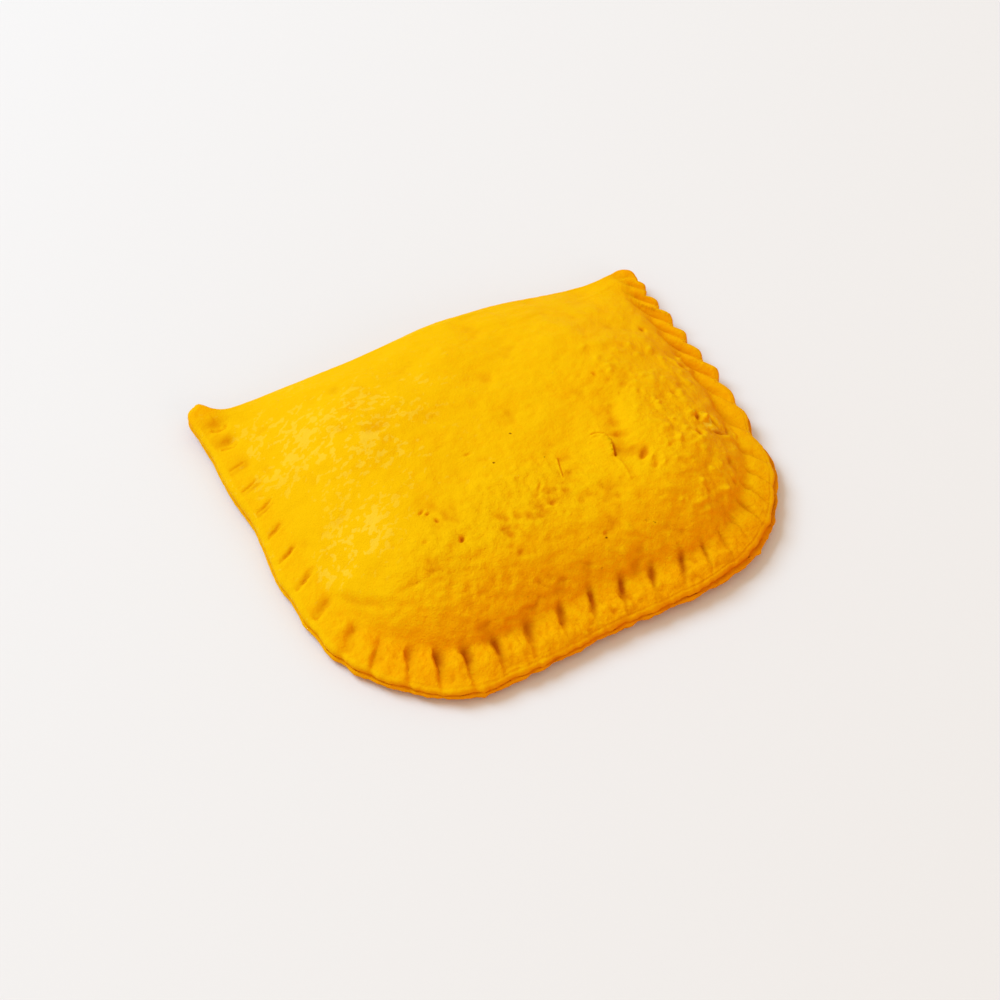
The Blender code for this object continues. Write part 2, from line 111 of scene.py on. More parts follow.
# How uneven the grooves are, how soon they end on the dome, how far in the scallops reach, and
# which part of their height stands outside the plan
CRIMP_SEED = 11
CRIMP_WIDTH_SPREAD = 0.18
CRIMP_DEPTH_SPREAD = 0.22
CRIMP_FADE_INTO_DOME = 1.7 * MM
SCALLOP_REACH = 5.0 * MM
SCALLOP_MIDDLE = 0.5
# Uneven places of the edge: middle and half length along it, and how far in they are, in mm
EDGE_DENTS = (
    (2.8, 2.4, -2.4), (14.0, 8.0, 0.7), (41.0, 9.0, 1.1), (60.0, 5.0, -0.7), (82.0, 4.0, 0.5),
    (122.0, 9.0, -1.2), (131.0, 4.0, -0.6), (139.0, 4.0, 0.3), (171.0, 15.0, 1.3),
    (187.0, 4.0, 0.4), (195.0, 6.0, 0.7), (202.0, 4.0, 0.8), (223.5, 6.0, -0.5),
    (244.5, 5.0, -0.8), (256.0, 5.0, 1.2), (265.0, 4.0, -0.8), (283.0, 4.0, -0.7),
    (317.0, 5.0, 0.7), (340.0, 7.0, 1.0), (371.0, 8.0, -0.6), (418.0, 14.0, 1.8),
    (453.0, 5.0, 0.6),
)
# The rim's fall towards its edge and the valley at the dome's foot
DROOP_REACH = 6.5 * MM
VALLEY_WIDTH = 1.9 * MM
# How far a leaf's round side stands out for its half thickness, outside and in the seam, and the
# angle at which the upper one starts
LEAF_ROUNDNESS = 1.25
LEAF_TOP = math.radians(74.0)
SEAM_ROUNDNESS = 0.22
# How much of the seam's warmth, a painted shade, the rings near it get, from the ring at its middle
SEAM_MARKS = ((-1, 0.5), (0, 1.0), (1, 0.5))

# Dome, fold and underside
DOME_HEIGHT = 18.6 * MM
DOME_CENTRE = np.array((3.0, 5.0)) * MM
FOLD_SHARE = 0.46
FOLD_SHARE_AT_EARS = 0.05
FOLD_THICKEST_X = 2.0 * MM
FOLD_HALF_LENGTH = 52.0 * MM
FOLD_CLIMB_WIDTH = 42.0 * MM
FOLD_NOSE_ANGLE = math.radians(70.0)
FOLD_SMOOTH_REACH = 12.0 * MM
EAR_ZONE = 9.0 * MM
EAR_TIP = np.array((-67.5, 57.0)) * MM
EAR_CURL_HEIGHT = 1.5 * MM
EAR_CURL_RADIUS = 7.0 * MM
EAR_TAB = np.array((2.3, 3.3)) * MM
EAR_TAB_WIDTH = 4.5 * MM
EAR_TAB_REACH = 9.0 * MM
LIFT_REACH = 22.0 * MM
UNDULATION_SEED = 5
UNDULATION_WAVES = 9
UNDULATION_HEIGHT = 0.34 * MM
UNDULATION_LENGTHS = (16.0 * MM, 38.0 * MM)
# Where the dome's unevenness starts and how soon it is full, in rim widths, and its share at the
# fold
UNEVEN_RISE = (0.5, 2.0)
UNEVEN_AT_FOLD = 0.4

# Features over the plan: place, reach along and across, turn, and amount, in mm and degrees
EAR_DENTS = (
    ((-62.6, 48.2), (3.0, 2.4), 20.0, -1.0),
    ((-61.9, 41.2), (2.9, 2.2), 20.0, -1.0),
)
RELIEF = (
    # Raised lip of the dry crack, then the ridge that runs on from it towards the front
    ((24.6, -11.0), (6.5, 2.4), 80.0, 0.55),
    ((25.0, -20.5), (5.0, 2.2), 85.0, 0.30),
    # Shallow valley beside the crack and the two dents at its end
    ((31.5, -9.0), (9.0, 2.6), 78.0, -1.05),
    ((34.5, -19.5), (3.6, 2.4), 30.0, -0.35),
    ((41.0, -13.0), (7.0, 3.5), 70.0, 0.60),
    ((33.5, 2.5), (7.0, 3.0), 78.0, -1.0),
    # Largest pits on the front left of the dome
    ((-21.9, -24.9), (2.4, 1.7), 60.0, -0.35),
    ((-26.2, -13.8), (2.6, 1.8), 20.0, -0.30),
    # Blistered skin near the right edge
    ((55.5, -10.5), (3.0, 2.4), 10.0, -0.85),
    ((52.0, -16.5), (3.0, 2.0), 40.0, 0.60),
    ((59.5, -15.0), (3.0, 2.2), 60.0, 0.55),
)
FINE_RELIEF = (
    # Pits on the front left of the dome
    ((-21.6, -24.4), (0.8, 0.6), 60.0, -1.10), ((-22.3, -25.2), (0.7, 0.5), 20.0, -0.50),
    ((-27.9, -12.5), (1.0, 0.5), 30.0, -0.55), ((-26.6, -13.4), (0.6, 0.4), 0.0, -0.50),
    ((-25.2, -16.3), (0.5, 0.9), 10.0, -0.60), ((-30.9, -22.2), (0.7, 0.5), 0.0, -0.30),
    ((-9.1, 1.0), (0.9, 0.5), 0.0, -0.40), ((-7.4, -8.2), (0.7, 0.9), 0.0, -0.20),
    ((3.5, -16.9), (1.3, 0.5), 50.0, -0.45), ((4.1, -22.1), (0.9, 1.4), 20.0, -0.50),
    ((13.8, -35.1), (0.6, 0.6), 0.0, -0.35),
    # Dents beside the valley and blisters on the right of the dome
    ((33.0, -17.5), (2.1, 0.85), 48.0, -0.85), ((34.6, -19.4), (1.9, 0.9), 48.0, 0.70),
    ((34.7, -22.0), (1.6, 0.8), 48.0, -0.75), ((41.2, -17.6), (0.9, 0.7), 48.0, -0.50),
    ((57.2, 30.5), (0.9, 0.7), 0.0, -0.60), ((33.7, 13.5), (0.5, 0.8), 30.0, -0.40),
    ((45.6, -1.4), (1.1, 0.7), 20.0, 0.75), ((54.6, -7.6), (1.3, 0.6), 70.0, -1.10),
    ((56.4, -8.4), (1.1, 0.9), 60.0, 0.90), ((58.6, -9.4), (2.0, 0.6), 100.0, -0.80),
    ((62.2, -11.4), (1.7, 0.6), 65.0, -0.90), ((63.7, -13.0), (1.3, 0.8), 65.0, 0.95),
    ((58.4, -13.6), (1.5, 0.6), -15.0, -0.85), ((60.6, -15.2), (1.3, 0.8), -10.0, 0.75),
    ((51.6, -14.6), (0.8, 0.9), 0.0, -1.00), ((50.0, -15.2), (1.0, 0.9), 0.0, 0.60),
    ((44.8, -15.6), (1.2, 0.8), 50.0, 0.70), ((46.4, -8.4), (0.7, 0.6), 0.0, 0.50),
    ((44.5, -29.4), (0.9, 0.9), 0.0, 0.80), ((42.6, -36.4), (1.1, 0.9), 0.0, 0.85),
    ((38.0, -34.2), (1.0, 1.2), 30.0, 0.40), ((45.4, -32.0), (0.6, 1.4), 20.0, -0.45),
    ((51.2, -31.3), (0.8, 0.8), 0.0, 0.50), ((56.5, -23.4), (1.3, 0.7), 60.0, -0.55),
    ((52.5, -25.2), (1.2, 0.7), 60.0, 0.45), ((54.4, -29.0), (0.5, 1.6), 20.0, -0.40),
    ((62.6, 17.6), (0.9, 0.9), 0.0, 0.60), ((61.6, 14.2), (1.4, 1.0), 0.0, -0.65),
    ((64.0, 13.6), (0.9, 0.8), 0.0, 0.60), ((59.5, 15.2), (0.9, 1.6), 20.0, 0.45),
)
# How rough the dough is at least, in its grain and in its relief, where it is rougher, and where it
# carries pale patches, partly flour and partly painted sheen
ROUGH_BASE = 0.25
RELIEF_ROUGH_BASE = 0.35
ROUGH_ZONES = (
    ((-2.0, -20.0), (30.0, 12.0), 10.0, 0.90),
    ((50.0, -8.0), (18.0, 34.0), 0.0, 0.70),
    ((-30.0, -40.0), (22.0, 14.0), -30.0, 0.60),
    ((10.0, -48.0), (50.0, 13.0), 8.0, 1.05),
    ((-45.0, 20.0), (25.0, 30.0), 0.0, -0.25),
)
FLOUR_SHEEN_ZONES = (
    ((-50.0, 31.0), (20.0, 24.0), 0.0, 0.78),
    ((-29.0, 11.0), (18.0, 20.0), 0.0, 0.66),
    ((-47.0, -12.5), (13.0, 9.5), 20.0, 1.05),
    ((-16.0, 34.0), (18.0, 14.0), 0.0, 0.50),
    ((57.0, -9.5), (5.0, 6.0), 0.0, 0.75),
    ((25.0, 40.0), (34.0, 9.0), 0.0, 0.22),
    ((-2.0, -4.0), (16.0, 16.0), 0.0, 0.15),
)
# How pale the left edge's side is, a painted highlight along it, and where along the crimped edge
# that starts to fade, and how soon
FLOUR_SHEEN_EDGE = 0.5
FLOUR_SHEEN_EDGE_FADE = (0.20, 0.10)
# How warm the crust's yellow is: at the middle, more per metre to the right, its limits there, more
# for each mm of hollow as painted shade and less on raised bumps as a painted highlight, within
# limits, on the front slope, the rim, the edge, the seam as painted shade and the fold's nose, and in
# some patches. The rise to the right and on the front slope is partly baking and partly painted shade
# of the sides away from the key light.
WARM_MIDDLE = 0.12
WARM_ACROSS = 2.6
WARM_LEAST = -0.1
WARM_MOST = 1.0
RELIEF_SHADE_WARMTH = 0.24
RELIEF_SHADE_LIMITS = (-0.8, 0.5)
WARM_FRONT = 0.22
WARM_FRONT_START = -18.0 * MM
WARM_FRONT_LENGTH = 34.0 * MM
WARM_RIM = 0.26
WARM_EDGE = -0.20
WARM_SEAM = 1.1
WARM_FOLD = 0.30
WARM_FOLD_REACH = 4.0 * MM
WARM_ZONES = (
    ((-30.6, 31.0), (3.6, 3.0), 0.0, 0.34),
    ((-42.0, -44.0), (20.0, 12.0), -45.0, 0.26),
    ((-20.0, -42.0), (18.0, 8.0), 0.0, 0.20),
    ((64.0, -30.0), (11.0, 22.0), -15.0, -0.28),
    ((-5.0, -24.0), (28.0, 9.0), 8.0, -0.10),
)
# Painted shade: more warmth where the crust is turned away from the key light, and the side that
# light comes from, on the far left
KEY_SHADE_WARMTH = 1.05
KEY_LIGHT_SIDE = (-1.5, 1.4, 2.3)
# Where the rim's paint starts to fade and how soon it is gone, in rim widths
RIM_PAINT = (0.7, 0.7)
# Painted shade in the front grooves, a darker brown in their bottoms: where along the crimped edge it
# starts and ends and where across the rim, each with the length of its fade, how much shade it has
# before that, and how narrowly
GROOVE_SHADE_FROM = (0.30, 0.10)
GROOVE_SHADE_TO = (0.60, 0.05)
GROOVE_SHADE_ACROSS = (0.45, 0.45)
GROOVE_SHADE_AT_EDGE = 0.35
GROOVE_SHADE_POWER = 1.5
# Painted shade in hollows: the depth at which its darker colour starts, how much deeper it is full,
# and its share in grooves
HOLLOW_SHADE_START = 0.15 * MM
HOLLOW_SHADE_DEPTH = 0.60 * MM
HOLLOW_SHADE_IN_GROOVES = 0.6

# Cracks and creases: plan path in mm, half width, depth, and height of the lip on the path's left
CRACKS = (
    (((22.8, -5.9), (24.4, -6.1), (25.9, -6.8), (27.0, -8.2)), 0.28, 0.30, -0.30),
    (((25.9, -6.8), (27.0, -8.2), (27.3, -9.8), (27.2, -11.4), (26.5, -14.3), (25.7, -15.9)),
     0.36, 0.85, -1.05),
    (((25.7, -15.9), (26.2, -18.0), (26.1, -21.8), (26.0, -24.8)), 0.45, -0.22, 0.0),
    (((12.4, -8.9), (11.5, -12.0), (11.1, -14.1), (10.6, -16.6)), 0.20, 0.18, -0.22),
)
# Sharp near sides of the pads along the left edge, in the same form
PAD_LINES = (
    (((-66.0, 47.2), (-63.9, 46.3), (-61.7, 46.6), (-60.7, 48.4)), 0.55, 0.36, -0.03),
    (((-65.6, 39.6), (-61.7, 39.0), (-60.1, 40.2)), 0.55, 0.36, -0.03),
    (((-66.0, 31.4), (-63.4, 31.7), (-61.0, 32.2)), 0.48, 0.25, -0.03),
    (((-65.6, 23.0), (-62.9, 23.4), (-59.7, 24.7)), 0.48, 0.25, -0.03),
    (((-64.3, 14.4), (-61.3, 15.1), (-58.8, 16.5)), 0.48, 0.25, -0.03),
    (((-63.8, 6.1), (-61.6, 6.7), (-59.5, 8.2)), 0.48, 0.25, -0.03),
    (((-63.0, -2.3), (-61.3, -2.3), (-59.2, -0.6)), 0.48, 0.25, -0.03),
    (((-63.4, -13.6), (-61.8, -13.1), (-59.6, -11.6)), 0.48, 0.28, -0.03),
    (((-62.4, -23.2), (-61.0, -23.3), (-58.6, -21.9)), 0.48, 0.28, -0.03),
)
# Creases of the front slope, in the same form
CREASES = (
    (((-21.0, -47.2), (-18.6, -45.8), (-16.0, -46.0), (-13.4, -44.6), (-10.2, -44.9), (-8.6, -43.2),
      (-6.9, -43.6)), 0.32, 0.34, 0.14),
    (((-7.6, -41.2), (-4.4, -42.6), (-1.6, -41.4), (1.4, -41.9)), 0.30, 0.20, 0.12),
    (((1.0, -39.4), (4.6, -39.2), (7.4, -40.4)), 0.30, 0.16, 0.08),
    (((-44.0, -30.2), (-38.7, -30.6), (-34.6, -30.7), (-30.0, -29.3)), 0.50, 0.22, 0.10),
    (((-56.0, -20.0), (-50.0, -27.0), (-43.0, -33.0), (-35.0, -35.5)), 0.80, 0.25, 0.12),
    (((-36.0, -27.0), (-32.3, -29.7), (-28.0, -30.8)), 0.30, 0.22, 0.05),
)
# How fast all these taper at their ends, and their lips' place and width in half widths
PATH_TAPER = 6.0
LIP_PLACE = 2.4
LIP_WIDTH = 1.6

# Scattered pits and blisters: zone's middle and reach, turn, count, and ranges of radius and height
SCATTER_SEED = 23
SCATTERS = (
    ((0.0, -24.0), (32.0, 14.0), 12.0, 130, (0.6, 1.4), (-0.42, 0.20)),
    ((50.0, -8.0), (15.0, 32.0), 5.0, 120, (0.75, 1.25), (-0.18, 0.80)),
    ((30.0, -36.0), (30.0, 10.0), 10.0, 80, (0.6, 1.1), (-0.20, 0.52)),
    ((12.0, 8.0), (50.0, 34.0), 0.0, 80, (0.9, 2.4), (-0.14, 0.14)),
    ((5.0, -52.0), (54.0, 8.0), 8.0, 150, (0.6, 1.2), (-0.25, 0.45)),
)
# How closely they gather, as a share of the reach, and their width as a share of their length
SCATTER_SPREAD = 0.55
SCATTER_OVAL = 0.7

# Uneven dough, from noise: size of its features and height, in mm, octaves, and the noise's shift
LUMPS = (7.5, 0.288, 2, 0.0)
SMALL_LUMPS = (2.8, 0.34, 2, 7.3)
SKIN = (1.8, 0.08, 1, 5.7)
RIM_LUMPS = (4.2, 0.80, 2, 8.2)
EDGE_CRUMB = (1.3, 0.40, 2, 3.1)
FOLD_WAVES = (9.0, 0.22, 2, 9.1)
FOLD_STRETCH = (0.35, 1.0, 1.0)
# The same for the leaves' edges, and each leaf's shift
LEAF_WAVER = (6.0, 0.35, 2)
LEAF_FRAY = (1.6, 0.16, 2)
LEAF_SHIFTS = (3.7, 41.3)
# Wrinkles: length and width in mm, turn, height, noise's octaves and shift, and where they are
WRINKLE_SIZE = (7.0, 2.6)
WRINKLE_TURN = -16.0
WRINKLE_HEIGHT = 0.22
WRINKLE_NOISE = (2, 11.9)
WRINKLE_ZONES = (
    ((-30.0, -33.0), (30.0, 11.0), -14.0, 1.0),
)
# The crumb's share at the edge and how far in it is full, the rim's share of the scattered bumps,
# where the dome's fine relief starts and how soon it is full, in rim widths, and its share at the
# fold
CRUMB_AT_EDGE = 0.4
CRUMB_FULL = 3.0 * MM
PAD_BUMPS = 1.3
FINE_RISE = (0.6, 0.8)
FINE_AT_FOLD = 0.35

# Dark specks baked into the crust: places in mm, and how far from them the brown reaches
SPECKS = (
    (8.9, -7.9), (8.7, -34.9), (9.7, -41.8), (3.8, 2.7), (-4.1, -4.5), (25.1, -35.4),
    (27.1, -36.2), (-11.6, -42.8), (13.4, -36.1),
)
SPECK_REACH = 2.0

# Mesh density. The rings of the rim have all stations, and the inner ones only some
STATIONS_PER_CRIMP = 20
FOLD_STATIONS = 160
CENTRE_RINGS = 26
PLATEAU_RINGS = 27
SLOPE_RINGS = 52
RIM_RINGS = 16
LEAF_STEPS = 6
UNDERSIDE_RINGS = 3
SLOPE_RING_BIAS = 1.15
UNDERSIDE_RING_BIAS = 1.4
EVERY_STATION_OF_DOME = 2
EVERY_STATION_OF_CENTRE = 4
FOLD_FOOT = 7.0 * MM
FOLD_SHOULDER = 36.0 * MM
OUTLINE_SAMPLES = 2400
END_SAMPLES = 40
SAMPLES_BEYOND_EARS = 200
POINTS_AT_ONCE = 4000
NORMAL_WINDOW = 50.0 * MM
BEND_REACH = 26.0 * MM
NOSE_GUESS = 4.0 * MM
NOSE_ROUNDS = 3
# How far from cracks, and from fine features in their own reaches, the mesh is split, and the
# shares of that for the first and second split
CRACK_MESH_REACH = 1.3 * MM
DETAIL_MESH_REACH = 2.2
SPLIT_SHARES = (1.0, 0.6)

# The map of the crust for baking: a large island for the top and edge, a small one for the base
MAP_NAME = "OFBake"
MAP_SPAN = 0.172
MAP_MARGIN = 0.01
BASE_MAP_SHARE = 0.26

# Colours, as linear light
YELLOW = (0.858, 0.482, 0.0012, 1.0)
ORANGE = (0.884, 0.348, 0.0007, 1.0)
# Pale yellow of the patches: partly flour, partly painted sheen of the soft light
FLOUR_SHEEN = (0.865, 0.540, 0.0250, 1.0)
# Amber: where the crust baked most, and the painted shade of the seam and of sides turned from the
# key light
AMBER = (0.750, 0.180, 0.0006, 1.0)
# Darker colour of pits, dents and the rim's grooves: painted shade
HOLLOW_SHADE = (0.640, 0.180, 0.0006, 1.0)
# Darker brown of the front grooves' bottoms: painted shade
GROOVE_SHADE = (0.470, 0.100, 0.0005, 1.0)
SPECK = (0.220, 0.050, 0.001, 1.0)
SHEEN_TINT = (1.0, 0.75, 0.15, 1.0)
FLOOR = (0.800, 0.798, 0.800, 1.0)

# Grain of the crust: each noise's size in mm, detail, roughness and distortion, and the depth in mm
# and strength of each bump
CRAGS = (1.5, 4.0, 0.70, 0.4)
CRAG_BUMP = (0.52, 0.8)
GRAIN = (0.50, 3.0, 0.65)
GRAIN_BUMP = (0.26, 0.6)
FINE_SKIN = (1.6, 3.0, 0.55)
SKIN_BUMP = (0.22, 0.6)
# Low blisters: spacing in mm, reach as a share of it and the share that is kept, then their height,
# the part of the reach that is flat on top, and how gently the kept ones set in
BLISTERS = (3.0, 0.40, 0.30)
BLISTER_HEIGHT = 0.35
BLISTER_TOP = 0.1
BLISTER_FADE = 0.02
# Uneven warmth: each noise with its weight, what is taken off their sum, and the warmths at which
# the crust is yellow, orange and amber
WARM_NOISES = (
    ((6.0, 5.0, 0.6, 0.6), 0.54),
    ((1.6, 3.0, 0.6), 0.34),
    ((0.42, 2.0, 0.6), 0.52),
)
WARM_LEVEL = 0.70
ALL_YELLOW = 0.0
ALL_ORANGE = 1.0
ALL_AMBER = 2.4
# Pale patches, partly flour and partly painted sheen: their noise, its turn and stretch, the
# clusters' noise, the weights of clusters and of the painted flour and sheen, and the sums at which a
# patch starts and is full
FLOUR_SHEEN_NOISE = (1.8, 2.5, 0.52, 0.3)
FLOUR_SHEEN_TURN = 24.0
FLOUR_SHEEN_STRETCH = 1.3
FLOUR_SHEEN_CLUSTERS = (9.0, 2.0)
FLOUR_SHEEN_CLUSTER_WEIGHT = 0.50
FLOUR_SHEEN_WEIGHT = 0.24
FLOUR_SHEEN_RISE = (0.965, 1.040)
# Strengths of the painted shade in hollows and in the front grooves, and the specks' noise and reach
# in mm
HOLLOW_SHADE_STRENGTH = 0.8
GROOVE_SHADE_STRENGTH = 1.2
SPECK_NOISE = (0.4, 1.0)
SPECK_FADE = (0.95, 0.6)
# Sheen of the crust and floor
CRUST_ROUGHNESS = 0.50
SHEEN_SPREAD = 0.16
SHEEN_NOISE = (4.0, 2.0)
CRUST_SPECULAR = 0.01
FLOOR_ROUGHNESS = 0.7
FLOOR_SPECULAR = 0.2

# Camera and light, as places in metres and turns in degrees
CAMERA_PLACE = (-0.149104, -0.331092, 0.42894)
CAMERA_TURN = (40.015, 0.0, -23.968)
CAMERA_LENS = 75.0
CAMERA_SENSOR = 36.0
# Soft lights: name, place, power and colour, and the size of each
LIGHTS = (
    ("key", (-1.25, 1.70, 2.00), 79.0, (0.571, 0.783, 1.0)),
    ("fill", (0.60, -2.20, 0.70), 9.0, (1.0, 0.80, 0.62)),
)
LIGHT_SIZE = 1.6
SKY_STRENGTH = 0.745
SKY_COLOUR = (1.0, 0.80, 0.60, 1.0)
FLOOR_SPAN = 6.0
FLOOR_GAP = 0.0002


def smoothstep(value):
    """Ease from 0 to 1 with flat ends."""
    value = np.clip(value, 0.0, 1.0)
    return value * value * (3.0 - 2.0 * value)


def past(value, start, length):
    """Ease from 0 at a start to 1 when a length past it."""
    return smoothstep((value - start) / length)


def fade(value, length):
    """Ease from 1 at 0 to 0 at a length."""
    return 1.0 - smoothstep(value / length)


def blend(low, high, share):
    """The low value at a share of 0, and the high one at 1."""
    return low + (high - low) * share


def bell(value):
    """1 where a value is 0, falling smoothly to nothing on both sides."""
    return np.exp(-value ** 2)


def axes(turn):
    """Directions along and across something that is turned by an angle in degrees."""
    angle = math.radians(turn)
    along = (math.cos(angle), math.sin(angle))
    return np.array((along, (-along[1], along[0])))


def unit(vectors):
    """Vectors of length one."""
    return vectors / np.linalg.norm(vectors, axis=-1, keepdims=True)


def fillet(before, corner, after, radius):
    """Points of the arc that rounds one corner of the plan."""
    to_before = unit(before - corner)
    to_after = unit(after - corner)
    half_angle = math.acos(float(np.clip(to_before @ to_after, -1.0, 1.0))) / 2.0
    centre = corner + unit(to_before + to_after) * radius / math.sin(half_angle)
    start = corner + to_before * radius / math.tan(half_angle) - centre
    turn = math.pi - 2.0 * half_angle
    steps = max(2, math.ceil(turn / ARC_STEP)) + 1
    angles = math.atan2(start[1], start[0]) + np.linspace(0.0, turn, steps)
    return centre + radius * np.column_stack((np.cos(angles), np.sin(angles)))


def plan_loop():
    """Closed plan of the edge, counter-clockwise, as points and their distance along it."""
    corners = [np.array(corner) * MM for corner, _ in OUTLINE]
    arcs = []
    for index, (_, radius) in enumerate(OUTLINE):
        after = corners[(index + 1) % len(corners)]
        arcs.append(fillet(corners[index - 1], corners[index], after, radius * MM))
    points = np.vstack(arcs + [arcs[0][:1]])
    steps = np.linalg.norm(np.diff(points, axis=0), axis=1)
    return points, np.concatenate(([0.0], np.cumsum(steps)))


class Plan:
    """The patty's edge in plan: evenly spaced samples that start at the left ear."""

    def __init__(self):
        points, distances = plan_loop()
        self.length = distances[-1]
        self.step = self.length / OUTLINE_SAMPLES
        self.samples = np.arange(OUTLINE_SAMPLES) * self.step
        columns = [np.interp(self.samples, distances, points[:, axis]) for axis in (0, 1)]
        self.points = np.column_stack(columns)
        self.points = np.roll(self.points, -self.nearest_sample(LEFT_EAR), axis=0)
        self.sealed_count = self.nearest_sample(RIGHT_EAR) + 1
        self.sealed_length = self.samples[self.sealed_count - 1]
        self.inward = self.smoothed_inward()

    def nearest_sample(self, place):
        """Index of the sample that is nearest to a plan place."""
        return int(np.argmin(np.linalg.norm(self.points - place, axis=1)))

    def smoothed_inward(self):
        """Inward directions, averaged along the edge so that their lines don't cross near it."""
        tangents = np.roll(self.points, -1, axis=0) - np.roll(self.points, 1, axis=0)
        normals = unit(np.column_stack((-tangents[:, 1], tangents[:, 0])))
        reach = int(NORMAL_WINDOW / self.step)
        weights = np.hanning(2 * reach + 1)
        wrapped = np.vstack((normals[-reach:], normals, normals[:reach]))
        columns = [np.convolve(wrapped[:, axis], weights, mode="valid") for axis in (0, 1)]
        return unit(np.column_stack(columns))

    def at(self, field, distance):
        """Value of a per-sample field at distances along the edge."""
        columns = [np.interp(distance, self.samples, field[:, axis], period=self.length)
                   for axis in (0, 1)]
        return np.column_stack(columns)

    def around(self, values, distance):
        """Value at distances along the crimped edge, eased between the named places."""
        share = np.clip(distance / self.sealed_length, 0.0, 1.0)
        index = np.clip(np.searchsorted(PLACES, share, side="right") - 1, 0, len(PLACES) - 2)
        step = past(share, PLACES[index], PLACES[index + 1] - PLACES[index])
        values = np.array(values)
        return blend(values[index], values[index + 1], step)

    def crimped_line(self):
        """Samples of the crimped edge, run straight on past both ears."""
        sealed = self.points[:self.sealed_count]
        beyond = np.arange(1, SAMPLES_BEYOND_EARS)[:, None] * self.step
        first = sealed[0] + beyond[::-1] * unit(sealed[0] - sealed[END_SAMPLES])
        last = sealed[-1] + beyond * unit(sealed[-1] - sealed[-1 - END_SAMPLES])
        return np.vstack((first, sealed, last))

    def from_crimped_edge(self, plan_points):
        """Distance of plan points from the crimped edge, and their nearest place along it."""
        line = self.crimped_line()
        along = unit(np.gradient(line, axis=0))
        inset = np.empty(len(plan_points))
        place = np.empty(len(plan_points))
        for start in range(0, len(plan_points), POINTS_AT_ONCE):
            part = slice(start, start + POINTS_AT_ONCE)
            some = plan_points[part]
            gaps = np.hypot(some[:, :1] - line[:, 0], some[:, 1:] - line[:, 1])
            index = np.argmin(gaps, axis=1)
            nearest = gaps[np.arange(len(some)), index]
            ahead = np.einsum("ij,ij->i", some - line[index], along[index])
            ahead = np.clip(ahead, -self.step, self.step)
            inset[part] = np.sqrt(np.maximum(nearest ** 2 - ahead ** 2, 0.0))
            place[part] = (index - (SAMPLES_BEYOND_EARS - 1)) * self.step + ahead
        return inset, place

    def from_fold(self, plan_points):
        """Distance of plan points in front of the fold."""
        fold = self.points[self.sealed_count:][::-1]
        return np.interp(plan_points[:, 0], fold[:, 0], fold[:, 1]) - plan_points[:, 1]


class Spots:
    """Plan points, with how far in they are from the crimped edge and fold, and where along it."""

    def __init__(self, plan, points):
        self.plan = plan
        self.points = points
        self.inset, self.place = plan.from_crimped_edge(points)
        self.before_fold = plan.from_fold(points)
        self.off_fold = smoothstep(self.before_fold / FOLD_SMOOTH_REACH)

    def share(self, values):
        """Value from a table of the crimped edge at each point."""
        return self.plan.around(values, self.place)

    def size(self, values):
        """Length in metres from a table in mm at each point."""
        return self.share(values) * MM

    def past_rim(self, start, rise):
        """Ease from 0 at a start to 1 after a rise further in, both in rim widths."""
        rim_width = self.size(RIM_WIDTH)
        return past(self.inset, start * rim_width, rise * rim_width)

    def up_groove(self):
        """Ease from 0 at the edge to 1 at the grooves' inner ends."""
        return smoothstep(self.inset / self.size(CRIMP_REACH))

    def groove_end(self):
        """1 as far as the grooves' inner ends, fading out on the dome."""
        beyond = np.maximum(self.inset - self.size(CRIMP_REACH), 0.0)
        return bell(beyond / CRIMP_FADE_INTO_DOME)


class Crimps:
    """The pressed grooves along the crimped edge, each a little uneven."""

    def __init__(self, plan):
        front = np.linspace(LEFT_GROOVES[-1], RIGHT_GROOVES[0], FRONT_GROOVES + 2)[1:-1]
        middles = np.concatenate((LEFT_GROOVES, front, RIGHT_GROOVES)) * MM
        self.count = len(middles)
        self.distances = np.concatenate(([0.0], middles, [plan.sealed_length]))
        self.counts = np.concatenate(([0.0], np.arange(self.count) + 0.5, [self.count]))
        rng = np.random.default_rng(CRIMP_SEED)
        self.widths = 1.0 + CRIMP_WIDTH_SPREAD * rng.uniform(-1.0, 1.0, self.count)
        self.depths = 1.0 + CRIMP_DEPTH_SPREAD * rng.uniform(-1.0, 1.0, self.count)

    def distance_of(self, running_count):
        """Distance along the edge at which a running count of crimps is reached."""
        return np.interp(running_count, self.counts, self.distances)

    def lobes(self, place):
        """0 where a groove reaches the edge and 1 halfway to the next, with round lobes between."""
        return np.abs(np.cos(math.pi * np.interp(place, self.distances, self.counts)))

    def shape(self, spots):
        """1 in the middle of a groove and 0 on a ridge."""
        slanted = spots.place + spots.inset * spots.share(CRIMP_SLANT)
        count = np.interp(slanted, self.distances, self.counts)
        index = np.clip(count.astype(int), 0, self.count - 1)
        run_in = smoothstep(spots.inset / spots.size(RIM_WIDTH))
        width = spots.share(CRIMP_WIDTH) * blend(spots.share(CRIMP_TAPER), 1.0, run_in)
        away = (count - index - 0.5) / self.widths[index] / width
        away = away / (1.0 - np.sign(away) * spots.share(CRIMP_LEAN))
        return self.depths[index] * bell(away)


